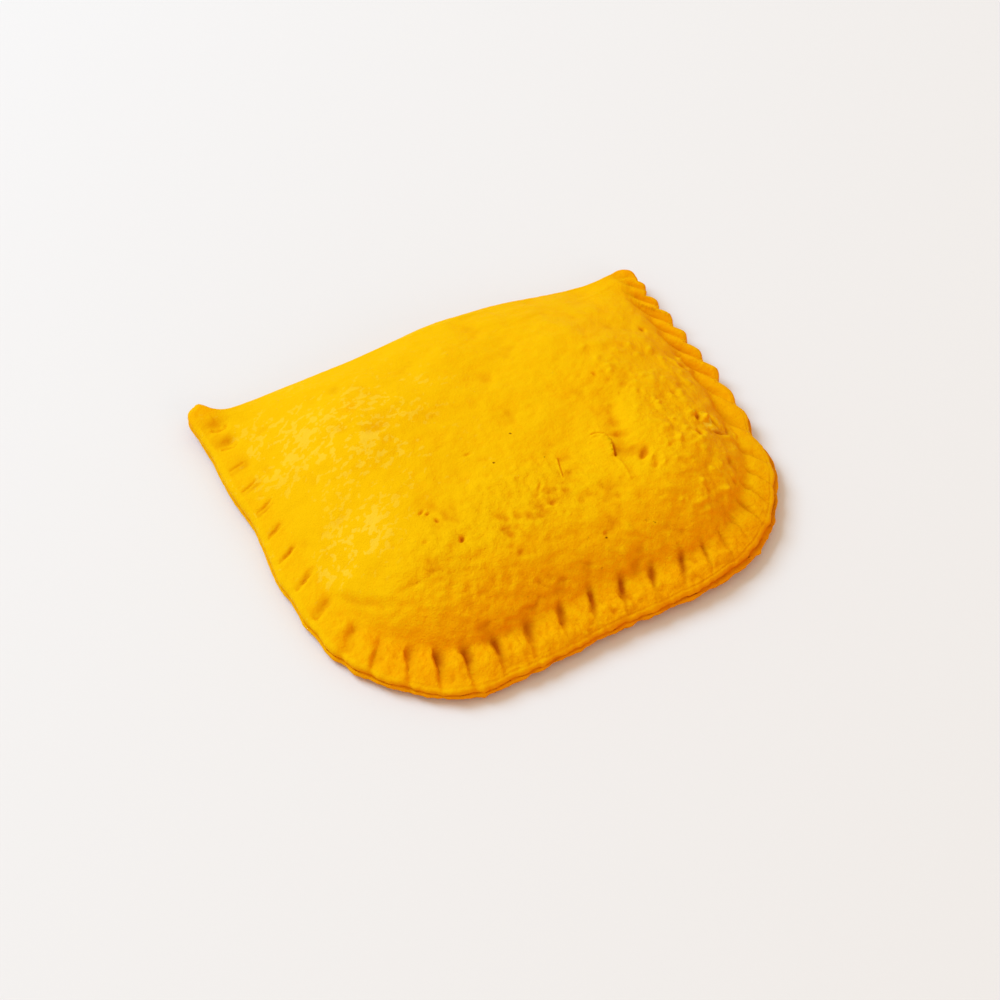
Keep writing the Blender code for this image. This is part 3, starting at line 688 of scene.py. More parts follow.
class Stations:
    """What is known at each station round the edge, from which the sections start."""

    def __init__(self, plan, crimps):
        crimp_stations = np.arange(crimps.count * STATIONS_PER_CRIMP) / STATIONS_PER_CRIMP
        fold_length = plan.length - plan.sealed_length
        fold_stations = plan.sealed_length + fold_length * np.arange(FOLD_STATIONS) / FOLD_STATIONS
        distance = np.concatenate((crimps.distance_of(crimp_stations), fold_stations))
        into_fold = np.minimum(distance - plan.sealed_length, plan.length - distance)
        self.distance = distance
        self.sealed = fade(into_fold, EAR_ZONE)
        self.edge = plan.at(plan.points, distance)
        self.inward = unit(plan.at(plan.inward, distance))
        self.reach = np.linalg.norm(DOME_CENTRE - self.edge, axis=1)
        self.to_centre = unit(DOME_CENTRE - self.edge)
        self.leaf_reach = plan.around(LOWER_LEAF_REACH, distance) * MM * self.sealed
        self.lower_share = plan.around(LOWER_LEAF_SHARE, distance)
        scallop = plan.around(SCALLOP, distance) * MM
        self.scallop = scallop * (crimps.lobes(distance) - SCALLOP_MIDDLE) * self.sealed
        for middle, half_length, depth in EDGE_DENTS:
            dent = bell((distance / MM - middle) / half_length)
            self.scallop = self.scallop - depth * MM * dent
        self.tab = bell(np.minimum(distance, plan.length - distance) / EAR_TAB_WIDTH)
        foot = plan.around(RIM_WIDTH, distance) * MM
        shoulder = foot + plan.around(SLOPE_WIDTH, distance) * MM
        self.foot = blend(FOLD_FOOT, foot, self.sealed)
        self.shoulder = blend(FOLD_SHOULDER, shoulder, self.sealed)

    def either(self, on_rim, on_fold):
        """One value on the crimped edge and another on the fold, eased at the ears."""
        return self.sealed * on_rim + (1.0 - self.sealed) * on_fold

    def plan_point(self, inset):
        """Plan points at an inset from the edge, on lines that bend towards the dome's centre."""
        bend = smoothstep(inset / BEND_REACH)[:, None]
        outward = self.scallop * fade(inset, SCALLOP_REACH)
        tab = self.tab * fade(inset, EAR_TAB_REACH)
        direction = (1.0 - bend) * self.inward + bend * self.to_centre
        place = self.edge + inset[:, None] * direction - outward[:, None] * self.inward
        return place + tab[:, None] * EAR_TAB


def undulation(plan_points):
    """Broad uneven waves of the dough, from a seeded sum of plane waves."""
    rng = np.random.default_rng(UNDULATION_SEED)
    height = np.zeros(len(plan_points))
    for _ in range(UNDULATION_WAVES):
        turn = rng.uniform(0.0, math.pi)
        length = rng.uniform(*UNDULATION_LENGTHS)
        phase = rng.uniform(0.0, 2.0 * math.pi)
        across = plan_points @ np.array((math.cos(turn), math.sin(turn)))
        height += np.sin(2.0 * math.pi * across / length + phase)
    return height * UNDULATION_HEIGHT / math.sqrt(UNDULATION_WAVES)


def features_at(plan_points, features):
    """Sum of smooth features at plan points, in their own unit."""
    total = np.zeros(len(plan_points))
    for place, (along, across), turn, amount in features:
        forward, sideways = axes(turn)
        offset = plan_points - np.array(place) * MM
        ahead = offset @ forward / (along * MM)
        aside = offset @ sideways / (across * MM)
        total += amount * np.exp(-ahead ** 2 - aside ** 2)
    return total


class Surface:
    """Heights of the top crust and of the underside over the plan."""

    def __init__(self, crimps):
        self.crimps = crimps

    def underside(self, spots):
        """Height of the underside: flat in the middle, lifted at the crimped edge and left ear."""
        lift = spots.size(EDGE_LIFT) * fade(spots.inset, LIFT_REACH)
        from_ear = np.linalg.norm(spots.points - EAR_TIP, axis=1)
        return lift + EAR_CURL_HEIGHT * bell(from_ear / EAR_CURL_RADIUS)

    def dome_share(self, spots):
        """Share of the dome's height, from 0 on the rim to 1 on the plateau."""
        climb = spots.inset - spots.size(RIM_WIDTH)
        climb = (climb + np.sqrt(climb ** 2 + spots.size(FOOT_SOFTNESS) ** 2)) / 2.0
        climb = np.clip(climb / spots.size(SLOPE_WIDTH), 0.0, 1.0)
        side = (1.0 - (1.0 - climb) ** CLIMB_POWER) ** (1.0 / spots.share(STEEPNESS))
        along_fold = np.clip((spots.points[:, 0] - FOLD_THICKEST_X) / FOLD_HALF_LENGTH, -1.0, 1.0)
        arch = (1.0 - along_fold ** 2) ** 2
        at_fold = blend(FOLD_SHARE_AT_EARS, FOLD_SHARE, arch)
        fold_climb = np.clip(spots.before_fold / FOLD_CLIMB_WIDTH, 0.0, 1.0)
        return side * blend(at_fold, 1.0, 1.0 - (1.0 - fold_climb) ** 2)

    def groove_depth(self, spots):
        """Depth of the crimps: least at the edge, most under the dome, where they end."""
        on_rim = blend(spots.share(CRIMP_AT_EDGE), 1.0, spots.up_groove())
        groove = self.crimps.shape(spots)
        return spots.size(CRIMP_DEPTH) * groove * on_rim * spots.groove_end()

    def rim_relief(self, spots):
        """Fall of the rim towards its edge, the valley at the dome's foot and the ear's dents."""
        droop = spots.size(EDGE_DROOP) * fade(spots.inset, DROOP_REACH)
        from_foot = spots.inset - spots.size(RIM_WIDTH)
        valley = spots.size(FOOT_VALLEY) * bell(from_foot / VALLEY_WIDTH)
        return features_at(spots.points, EAR_DENTS) * MM - droop - valley

    def unevenness(self, spots):
        """Waves and local relief, which fade out on the rim and calm down along the fold."""
        calm = blend(UNEVEN_AT_FOLD, 1.0, spots.off_fold)
        waves = undulation(spots.points) + features_at(spots.points, RELIEF) * MM
        return spots.past_rim(*UNEVEN_RISE) * calm * waves

    def top(self, spots):
        """Height of the top crust."""
        thickness = spots.size(RIM_THICKNESS)
        share = self.dome_share(spots)
        height = self.underside(spots) + thickness + (DOME_HEIGHT - thickness) * share
        height = height - self.groove_depth(spots) + self.rim_relief(spots)
        return height + self.unevenness(spots)


def noise_at(points, size, octaves, shift):
    """Smooth noise about 0 at points, with features of a size in mm."""
    scaled = points / (size * MM) + shift
    return np.array([noise.fractal(Vector(point), 1.0, 2.0, octaves) for point in scaled])


def noise_relief(points, size, height, octaves, shift):
    """Height of uneven dough at points, in metres, from a size and height in mm."""
    return height * MM * noise_at(points, size, octaves, shift)


class Sections:
    """Rings of points from the centre of the top, over the edge, to the centre of the underside."""

    def __init__(self, plan, crimps, surface):
        self.plan = plan
        self.surface = surface
        self.stations = Stations(plan, crimps)
        self.upper_fray, self.lower_fray = self.frays()
        self.nose_inset, self.nose_thickness = self.nose()
        self.fold_radius = self.nose_thickness / (1.0 + math.sin(FOLD_NOSE_ANGLE))

    def frays(self):
        """How far each leaf's edge wavers in and out, at each station."""
        stations = self.stations
        line = np.zeros((len(stations.distance), 3))
        line[:, 0] = stations.distance
        wavering = stations.sealed * self.plan.around(LEAF_WAVERING, stations.distance)
        frays = []
        for shift in LEAF_SHIFTS:
            fray = noise_relief(line, *LEAF_WAVER, shift) + noise_relief(line, *LEAF_FRAY, shift)
            frays.append(wavering * fray)
        return frays

    def ring(self, inset, height_of):
        """One ring of points at an inset, with a height for each plan point."""
        plan_points = self.stations.plan_point(inset)
        return np.column_stack((plan_points, height_of(Spots(self.plan, plan_points))))

    def nose(self):
        """Inset at which the round edge begins, and the thickness there."""
        stations = self.stations
        inset = np.full(len(stations.reach), NOSE_GUESS)
        nose_share = 1.0 - math.cos(FOLD_NOSE_ANGLE)
        for _ in range(NOSE_ROUNDS):
            spots = Spots(self.plan, stations.plan_point(inset))
            thickness = self.surface.top(spots) - self.surface.underside(spots)
            fold_nose = thickness * nose_share / (1.0 + math.sin(FOLD_NOSE_ANGLE))
            rim_nose = self.leaf(thickness, True) * (1.0 - math.cos(LEAF_TOP)) * LEAF_ROUNDNESS
            rim_nose = rim_nose + stations.leaf_reach + self.upper_fray * math.cos(LEAF_TOP)
            inset = stations.either(rim_nose, fold_nose)
        return inset, thickness

    def leaf(self, thickness, upper):
        """Half the thickness of the upper or lower leaf of dough."""
        if upper:
            return thickness * (1.0 - self.stations.lower_share) / (1.0 + math.sin(LEAF_TOP))
        return thickness * self.stations.lower_share / 2.0

    def top_rings(self):
        """Rings of the top crust from near the dome's centre out to the edge."""
        stations = self.stations
        middle = (stations.reach + stations.shoulder) / 2.0
        dome = EVERY_STATION_OF_DOME
        bands = (
            (middle, stations.reach, CENTRE_RINGS, 1.0, EVERY_STATION_OF_CENTRE),
            (stations.shoulder, middle, PLATEAU_RINGS, 1.0, dome),
            (stations.foot, stations.shoulder, SLOPE_RINGS, SLOPE_RING_BIAS, dome),
            (self.nose_inset, stations.foot, RIM_RINGS, 1.0, 1),
        )
        rings = []
        for near, far, count, bias, every in bands:
            for share in np.linspace(1.0, 0.0, count, endpoint=False):
                ring = self.ring(blend(near, far, share ** bias), self.surface.top)
                rings.append(ring[::every])
        return rings[1:]

    def edge_ring(self, angle, fold_angle, upper):
        """One ring of the edge: a leaf's round side on the rim, the round nose on the fold."""
        stations = self.stations
        leaf = self.leaf(self.nose_thickness, upper)
        roundness = SEAM_ROUNDNESS if upper == (angle < 0.0) else LEAF_ROUNDNESS
        leaf_inset = leaf * (1.0 - math.cos(angle)) * roundness
        leaf_height = leaf * (1.0 + math.sin(angle))
        if upper:
            leaf_inset = leaf_inset + stations.leaf_reach + self.upper_fray * math.cos(angle)
            leaf_height = leaf_height + self.nose_thickness * stations.lower_share
        else:
            leaf_inset = leaf_inset + self.lower_fray * math.cos(angle)
        fold_inset = self.fold_radius * (1.0 - math.cos(fold_angle))
        fold_height = self.fold_radius * (1.0 + math.sin(fold_angle))
        inset = stations.either(leaf_inset, fold_inset)
        height = stations.either(leaf_height, fold_height)
        return self.ring(inset, lambda spots: self.surface.underside(spots) + height)

    def edge_rings(self):
        """Rings of the edge from top to bottom."""
        upper = np.linspace(LEAF_TOP, -math.pi / 2.0, LEAF_STEPS + 1)
        lower = np.linspace(math.pi / 2.0, -math.pi / 2.0, LEAF_STEPS + 1)
        leaf_angles = list(upper) + list(lower[1:])
        fold_angles = np.linspace(FOLD_NOSE_ANGLE, -math.pi / 2.0, len(leaf_angles))
        return [self.edge_ring(angle, fold_angle, index <= LEAF_STEPS)
                for index, (angle, fold_angle) in enumerate(zip(leaf_angles, fold_angles))]

    def underside_rings(self):
        """Rings of the underside from the edge in to near its centre."""
        stations = self.stations
        rim = self.leaf(self.nose_thickness, False) * LEAF_ROUNDNESS
        start = stations.either(rim, self.fold_radius)
        shares = np.linspace(0.0, 1.0, UNDERSIDE_RINGS + 1)[1:-1] ** UNDERSIDE_RING_BIAS
        insets = [blend(start, stations.reach, share) for share in shares]
        every = EVERY_STATION_OF_DOME
        return [self.ring(inset, self.surface.underside)[::every] for inset in insets]

    def pole(self, height_of):
        """The single point at the dome's centre."""
        centre = DOME_CENTRE[None, :]
        return np.column_stack((centre, height_of(Spots(self.plan, centre))))


def faces_between(first, second):
    """Faces from one ring of vertex numbers to the next, which may have half or twice as many."""
    if len(first) == 1:
        return np.column_stack((np.repeat(first, len(second)), second, np.roll(second, -1)))
    if len(second) == 1 or len(first) < len(second):
        return faces_between(second, first)[:, ::-1]
    after_second = np.roll(second, -1)
    if len(first) == len(second):
        one = np.column_stack((first, second, after_second))
        other = np.column_stack((first, after_second, np.roll(first, -1)))
        return np.vstack((one, other))
    even = first[::2]
    odd = first[1::2]
    one = np.column_stack((even, second, odd))
    middle = np.column_stack((odd, second, after_second))
    other = np.column_stack((odd, after_second, np.roll(even, -1)))
    return np.vstack((one, middle, other))


def vertex_values(mesh, name):
    """A per-vertex attribute as an array."""
    values = np.empty(len(mesh.vertices), dtype=np.float32)
    mesh.attributes[name].data.foreach_get("value", values)
    return values.astype(float)


def set_vertex_values(mesh, name, values):
    """Write a per-vertex attribute that the material reads."""
    layer = mesh.attributes.new(name, "FLOAT", "POINT")
    layer.data.foreach_set("value", values.astype(np.float32))


def vertex_vectors(mesh, source, field):
    """Places or normals of a mesh's vertices as an array."""
    values = np.empty(len(mesh.vertices) * 3, dtype=np.float32)
    source.foreach_get(field, values)
    return values.reshape(-1, 3).astype(float)


def section_map(stations, top_count, rings):
    """Map places of the top and edge rings: the plan, run on outward by the edge's own length."""
    places = [ring[:, :2] for ring in rings[:top_count]]
    last = rings[top_count - 1]
    past = np.zeros(len(last))
    for index in range(top_count, len(rings)):
        past = past + np.linalg.norm(rings[index] - rings[index - 1], axis=1)
        places.append(last[:, :2] - past[:, None] * stations.inward)
    return places


def crust_map(sections, top_count, rings, under_points):
    """Map places of the upper points and of the base, each as an island of its own."""
    over = np.vstack(section_map(sections.stations, top_count, rings))
    over = MAP_MARGIN + (over - over.min(axis=0)) / MAP_SPAN
    low = np.vstack(rings)[:, :2].min(axis=0)
    under = (under_points[:, :2] - low) / MAP_SPAN * BASE_MAP_SHARE
    under[:, 1] += over[:, 1].max() + MAP_MARGIN
    under[:, 0] += MAP_MARGIN
    return over, under


def mark_rings(mesh, starts, top_count):
    """Mark the mesh's points on the top, and those in and beside the seam."""
    on_top = np.zeros(len(mesh.vertices))
    on_top[:starts[top_count]] = 1.0
    set_vertex_values(mesh, "top", on_top)
    in_seam = np.zeros(len(mesh.vertices))
    for index, mark in SEAM_MARKS:
        ring = top_count + LEAF_STEPS + index
        in_seam[starts[ring]:starts[ring + 1]] = mark
    set_vertex_values(mesh, "seam", in_seam)


def crust_mesh(sections):
    """The crust's even form as one closed mesh, with its map and marks on the top and the seam."""
    surface = sections.surface
    top = [sections.pole(surface.top)] + sections.top_rings()
    over_rings = top + sections.edge_rings()
    rings = over_rings + sections.underside_rings() + [sections.pole(surface.underside)]
    starts = np.concatenate(([0], np.cumsum([len(ring) for ring in rings])))
    numbers = [np.arange(starts[i], starts[i + 1]) for i in range(len(rings))]
    faces = [faces_between(numbers[i], numbers[i + 1]) for i in range(len(rings) - 1)]
    last_over = len(over_rings) - 1
    over = np.vstack(faces[:last_over])
    under = np.vstack(faces[last_over:])
    points = np.vstack(rings)
    under_start = starts[last_over]
    over_map, under_map = crust_map(sections, len(top), over_rings, points[under_start:])
    mesh = bpy.data.meshes.new("crust")
    mesh.from_pydata(points.tolist(), [], np.vstack((over, under)).tolist())
    mapped = mesh.uv_layers.new(name=MAP_NAME)
    places = np.vstack((over_map[over.ravel()], under_map[under.ravel() - under_start]))
    mapped.data.foreach_set("uv", places.ravel())
    mark_rings(mesh, starts, len(top))
    return mesh


def from_path(plan_points, path):
    """Distance of plan points from a path, signed by side, and the share of it that is passed."""
    corners = np.array(path) * MM
    lengths = np.linalg.norm(np.diff(corners, axis=0), axis=1)
    passed = np.concatenate(([0.0], np.cumsum(lengths)))
    nearest = np.full(len(plan_points), np.inf)
    side = np.ones(len(plan_points))
    share = np.zeros(len(plan_points))
    for index, length in enumerate(lengths):
        along = (corners[index + 1] - corners[index]) / length
        offset = plan_points - corners[index]
        forward = np.clip(offset @ along, 0.0, length)
        gap = np.linalg.norm(offset - forward[:, None] * along, axis=1)
        closer = gap < nearest
        nearest[closer] = gap[closer]
        left = along[0] * offset[:, 1] - along[1] * offset[:, 0]
        side[closer] = np.where(left[closer] >= 0.0, 1.0, -1.0)
        share[closer] = (passed[index] + forward[closer]) / passed[-1]
    return nearest * side, share


def path_relief(plan_points, paths):
    """Height of cracks and creases: a narrow slit with one raised lip, tapering at both ends."""
    height = np.zeros(len(plan_points))
    for path, half_width, depth, lip in paths:
        gap, share = from_path(plan_points, path)
        width = half_width * MM
        taper = smoothstep(np.minimum(share, 1.0 - share) * PATH_TAPER)
        side = math.copysign(1.0, lip)
        slit = depth * bell(gap / width)
        lips = abs(lip) * bell((side * gap - LIP_PLACE * width) / (LIP_WIDTH * width))
        height += (lips - slit) * MM * taper
    return height


def near_details(places, share):
    """Whether each place is within a share of the reach of a crack or of a fine feature."""
    near = np.zeros(len(places), dtype=bool)
    for path, _, _, _ in CRACKS + PAD_LINES:
        near |= np.abs(from_path(places, path)[0]) < share * CRACK_MESH_REACH
    for middle, reach, _, _ in FINE_RELIEF:
        gap = np.linalg.norm(places - np.array(middle) * MM, axis=1)
        near |= gap < share * DETAIL_MESH_REACH * max(reach) * MM
    return near


def refine_details(mesh):
    """Split the faces at cracks and fine features, so that these have faces to form them."""
    bm = bmesh.new()
    bm.from_mesh(mesh)
    top = bm.verts.layers.float["top"]
    for share in SPLIT_SHARES:
        verts = list(bm.verts)
        near = near_details(np.array([vert.co.xy for vert in verts]), share)
        chosen = {vert for vert, close in zip(verts, near) if close and vert[top] > 0.5}
        edges = [edge for edge in bm.edges if edge.verts[0] in chosen and edge.verts[1] in chosen]
        bmesh.ops.subdivide_edges(bm, edges=edges, cuts=1)
        bmesh.ops.triangulate(bm, faces=[face for face in bm.faces if len(face.verts) > 3])
    bm.to_mesh(mesh)
    bm.free()


def scattered(plan_points):
    """Small pits and blisters, drawn at random in each of their zones."""
    rng = np.random.default_rng(SCATTER_SEED)
    height = np.zeros(len(plan_points))
    for middle, reach, turn, count, radii, heights in SCATTERS:
        offsets = rng.normal(0.0, SCATTER_SPREAD, (count, 2)) * reach
        places = np.array(middle) + offsets @ axes(turn)
        sizes = rng.uniform(*radii, count)
        turns = rng.uniform(0.0, 180.0, count)
        rises = rng.uniform(*heights, count)
        features = [(tuple(places[i]), (sizes[i], SCATTER_OVAL * sizes[i]), turns[i], rises[i])
                    for i in range(count)]
        height += features_at(plan_points, features)
    return height * MM


def wrinkles(points):
    """Low wrinkles of stretched dough along the front slope."""
    long, short = WRINKLE_SIZE
    turned = points @ np.array(Matrix.Rotation(math.radians(-WRINKLE_TURN), 3, "Z")).T
    turned = turned * np.array((short / long, 1.0, 1.0))
    ridged = 0.5 - np.abs(noise_at(turned, short, *WRINKLE_NOISE)) * 2.0
    zone = features_at(points[:, :2], WRINKLE_ZONES)
    return ridged * zone * WRINKLE_HEIGHT * MM


def fine_relief(points, spots, is_top):
    """Height of everything that is finer than the even form, along the surface's normal."""
    places = points[:, :2]
    rough = RELIEF_ROUGH_BASE + features_at(places, ROUGH_ZONES)
    on_dome = spots.past_rim(*FINE_RISE)
    calm = on_dome * blend(FINE_AT_FOLD, 1.0, spots.off_fold)
    bumps = scattered(places)
    dome = noise_relief(points, *LUMPS) * (1.0 + rough)
    dome += noise_relief(points, *SMALL_LUMPS) * rough
    dome += bumps + wrinkles(points) + features_at(places, FINE_RELIEF) * MM
    crumb = blend(CRUMB_AT_EDGE, 1.0, smoothstep(spots.inset / CRUMB_FULL))
    rim = noise_relief(points, *EDGE_CRUMB) * crumb + noise_relief(points, *RIM_LUMPS)
    rim = (rim + PAD_BUMPS * bumps) * spots.share(RIM_ROUGHNESS)
    fold = noise_relief(points * np.array(FOLD_STRETCH), *FOLD_WAVES) * (1.0 - spots.off_fold)
    lines = path_relief(places, CRACKS + PAD_LINES + CREASES)
    even = noise_relief(points, *SKIN) + fold
    return is_top * (calm * dome + lines) + (1.0 - on_dome) * rim * spots.off_fold + even


def warmth(spots, relief, is_top, seam):
    """How warm the crust's yellow is at each vertex, with painted shade in hollows, in the seam and
    partly on the right and the front slope, and a painted highlight on raised bumps.
    """
    in_front = smoothstep((WARM_FRONT_START - spots.points[:, 1]) / WARM_FRONT_LENGTH)
    at_nose = fade(spots.before_fold, WARM_FOLD_REACH)
    # Warmer to the right and on the front slope: partly browning, partly painted shade away from the
    # key light
    warm = WARM_MIDDLE + WARM_ACROSS * spots.points[:, 0] + WARM_FRONT * in_front
    warm += WARM_RIM * (1.0 - spots.past_rim(*RIM_PAINT))
    warm = np.clip(warm, WARM_LEAST, WARM_MOST)
    # Painted shade in hollows and a painted highlight on raised bumps
    warm -= RELIEF_SHADE_WARMTH * np.clip(relief / MM, *RELIEF_SHADE_LIMITS)
    warm += WARM_FOLD * at_nose + WARM_EDGE * (1.0 - is_top) * spots.off_fold
    # Painted shade in the seam between the leaves
    return warm + WARM_SEAM * seam * spots.off_fold + features_at(spots.points, WARM_ZONES)


def flour_sheen(share, spots, is_top, seam):
    """How pale the crust is at each vertex: flour and painted sheen on its top, and a painted
    highlight along the left edge.
    """
    on_top = np.clip(features_at(spots.points, FLOUR_SHEEN_ZONES), 0.0, 1.0) * is_top
    on_left = 1.0 - past(share, *FLOUR_SHEEN_EDGE_FADE)
    return on_top + FLOUR_SHEEN_EDGE * (1.0 - is_top) * (1.0 - seam) * on_left * spots.off_fold


def groove_paint(crimps, spots, share):
    """How far each vertex is in a groove, and how much painted shade darkens it there."""
    groove = np.clip(crimps.shape(spots), 0.0, 1.0)
    inner = spots.up_groove() * spots.groove_end()
    across = past(spots.inset / spots.size(CRIMP_REACH), *GROOVE_SHADE_ACROSS)
    front = past(share, *GROOVE_SHADE_FROM) * (1.0 - past(share, *GROOVE_SHADE_TO))
    strength = blend(GROOVE_SHADE_AT_EDGE, 1.0, across)
    return groove * inner, groove ** GROOVE_SHADE_POWER * inner * strength * front


def from_specks(places):
    """Distance of places from the nearest speck, in mm, up to the specks' reach."""
    nearest = np.full(len(places), SPECK_REACH)
    for place in SPECKS:
        gap = np.linalg.norm(places - np.array(place) * MM, axis=1) / MM
        nearest = np.minimum(nearest, gap)
    return nearest


def paint(mesh, crimps, spots, relief, is_top):
    """Write how warm, how pale with flour and painted sheen, how rough, and how much painted shade
    the hollows and front grooves get, at each vertex.
    """
    share = spots.place / spots.plan.sealed_length
    seam = vertex_values(mesh, "seam")
    in_groove, groove_shade = groove_paint(crimps, spots, share)
    # Painted shade in dips of the relief and in the rim's grooves
    dip = np.clip((-relief - HOLLOW_SHADE_START) / HOLLOW_SHADE_DEPTH, 0.0, 1.0)
    on_rim = 1.0 - spots.past_rim(*RIM_PAINT)
    hollow_shade = np.maximum(dip, HOLLOW_SHADE_IN_GROOVES * in_groove * on_rim)
    rough = ROUGH_BASE + features_at(spots.points, ROUGH_ZONES)
    set_vertex_values(mesh, "warm", warmth(spots, relief, is_top, seam))
    set_vertex_values(mesh, "flour_sheen", flour_sheen(share, spots, is_top, seam))
    set_vertex_values(mesh, "groove_shade", np.clip(groove_shade * is_top, 0.0, 1.0))
    set_vertex_values(mesh, "from_speck", from_specks(spots.points))
    set_vertex_values(mesh, "rough", np.clip(rough, 0.0, 1.0) * is_top)
    set_vertex_values(mesh, "hollow_shade", np.clip(hollow_shade, 0.0, 1.0) * is_top)


def add_object(name, data):
    """A new object in the scene."""
    added = bpy.data.objects.new(name, data)
    bpy.context.scene.collection.objects.link(added)
    return added


def build_crust(material):
    """The whole crust at its true size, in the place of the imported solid."""
    plan = Plan()
    crimps = Crimps(plan)
    mesh = crust_mesh(Sections(plan, crimps, Surface(crimps)))
    refine_details(mesh)
    points = vertex_vectors(mesh, mesh.vertices, "co")
    normals = vertex_vectors(mesh, mesh.vertex_normals, "vector")
    spots = Spots(plan, points[:, :2])
    is_top = vertex_values(mesh, "top")
    relief = fine_relief(points, spots, is_top)
    paint(mesh, crimps, spots, relief, is_top)
    for mark in ("top", "seam"):
        mesh.attributes.remove(mesh.attributes[mark])
    points = points + relief[:, None] * normals
    points[:, :2] -= FRAME_MIDDLE
    points[:, 2] = np.maximum(points[:, 2], 0.0)
    mesh.vertices.foreach_set("co", points.ravel())
    mesh.update()
    mesh.materials.append(material)
    mesh.shade_smooth()
    return add_object("crust", mesh)


class Nodes:
    """Short ways to add and link the nodes of one material."""

    def __init__(self, name):
        self.material = bpy.data.materials.new(name)
        self.material.use_nodes = True
        self.tree = self.material.node_tree
        self.place = self.add("ShaderNodeTexCoord", {}).outputs["Object"]

    def feed(self, node, inputs):
        """Link outputs to inputs of a node, or set the inputs' own values."""
        for name, value in inputs.items():
            if isinstance(value, bpy.types.NodeSocket):
                self.tree.links.new(value, node.inputs[name])
            else:
                node.inputs[name].default_value = value

    def add(self, kind, inputs, **settings):
        """A new node with some of its settings and inputs."""
        node = self.tree.nodes.new(kind)
        for name, value in settings.items():
            setattr(node, name, value)
        self.feed(node, inputs)
        return node

    def attribute(self, name):
        """A per-vertex value of the mesh."""
        return self.add("ShaderNodeAttribute", {}, attribute_name=name).outputs["Fac"]

    def math(self, operation, first, second, clamp=False):
        """One sum on two values."""
        inputs = {0: first, 1: second}
        node = self.add("ShaderNodeMath", inputs, operation=operation, use_clamp=clamp)
        return node.outputs["Value"]

    def vector_math(self, operation, first, second):
        """One sum on two vectors, as a node."""
        return self.add("ShaderNodeVectorMath", {0: first, 1: second}, operation=operation)

    def stretched(self, turn, stretch):
        """Object coordinates turned about the vertical and stretched along the new direction."""
        inputs = {"Vector": self.place, "Angle": -math.radians(turn)}
        turned = self.add("ShaderNodeVectorRotate", inputs, rotation_type="Z_AXIS")
        shares = (1.0 / stretch, 1.0, 1.0)
        return self.vector_math("MULTIPLY", turned.outputs["Vector"], shares).outputs["Vector"]

    def noise(self, size, detail=2.0, roughness=0.5, distortion=0.0, place=None):
        """Noise from 0 to 1 with features of a size in mm."""
        inputs = {"Vector": place or self.place, "Scale": 1.0 / (size * MM), "Detail": detail,
                  "Roughness": roughness, "Distortion": distortion}
        return self.add("ShaderNodeTexNoise", inputs).outputs["Fac"]

    def cells(self, size):
        """Distance from the nearest of scattered points with a spacing in mm, and its own value."""
        inputs = {"Vector": self.place, "Scale": 1.0 / (size * MM)}
        node = self.add("ShaderNodeTexVoronoi", inputs)
        return node.outputs["Distance"], node.outputs["Color"]

    def rise(self, value, low, high, kind="SMOOTHSTEP"):
        """From 0 at the low end of a value to 1 at its high end."""
        inputs = {"Value": value, "From Min": low, "From Max": high}
        return self.add("ShaderNodeMapRange", inputs, interpolation_type=kind).outputs["Result"]

    def mix(self, factor, first, second):
        """Blend of two colours."""
        inputs = {"Factor": factor, "A": first, "B": second}
        return self.add("ShaderNodeMix", inputs, data_type="RGBA").outputs["Result"]

    def bump(self, height, distance, strength, under=None):
        """Normal bent by a height from 0 to 1 over a distance in mm."""
        inputs = {"Height": height, "Distance": distance * MM, "Strength": strength}
        if under is not None:
            inputs["Normal"] = under
        return self.add("ShaderNodeBump", inputs).outputs["Normal"]


def scattered_spots(nodes, size, radius, share):
    """Round spots from 0 at their edge to 1 in the middle, on a share of scattered points."""
    away, value = nodes.cells(size)
    kept = nodes.rise(value, 1.0 - share, 1.0 - share + BLISTER_FADE)
    return nodes.math("MULTIPLY", nodes.rise(away, radius, BLISTER_TOP * radius), kept)


def crust_normal(nodes):
    """Fine grain and skin, with crags and low blisters where the dough is rough."""
    rough = nodes.attribute("rough")
    crags = nodes.noise(*CRAGS)
    blisters = nodes.math("MULTIPLY", scattered_spots(nodes, *BLISTERS), BLISTER_HEIGHT)
    uneven = nodes.math("MULTIPLY", nodes.math("ADD", crags, blisters), rough)
    grain = nodes.bump(nodes.noise(*GRAIN), *GRAIN_BUMP)
    skin = nodes.bump(nodes.noise(*FINE_SKIN), *SKIN_BUMP, grain)
    return nodes.bump(uneven, *CRAG_BUMP, skin)


def key_shade(nodes, normal):
    """How much less the uneven crust faces the key light on the far left than a level one would,
    which paints shade into the colour.
    """
    key_side = Vector(KEY_LIGHT_SIDE).normalized()
    facing = nodes.vector_math("DOT_PRODUCT", normal, key_side).outputs["Value"]
    return nodes.math("SUBTRACT", key_side.z, facing)


def baked_and_shaded_colour(nodes, normal):
    """Yellow dough that turns orange and then amber where it baked more, and where it is turned from
    the key light, as painted shade.
    """
    # Painted shade: warmer and darker where the bumped normal turns from the key light
    away = nodes.math("MULTIPLY", key_shade(nodes, normal), KEY_SHADE_WARMTH)
    warm = nodes.math("ADD", nodes.attribute("warm"), away)
    for settings, weight in WARM_NOISES:
        part = nodes.math("MULTIPLY", nodes.noise(*settings), weight)
        warm = nodes.math("ADD", warm, part)
    warm = nodes.math("SUBTRACT", warm, WARM_LEVEL)
    colour = nodes.mix(nodes.rise(warm, ALL_YELLOW, ALL_ORANGE, "LINEAR"), YELLOW, ORANGE)
    return nodes.mix(nodes.rise(warm, ALL_ORANGE, ALL_AMBER, "LINEAR"), colour, AMBER)


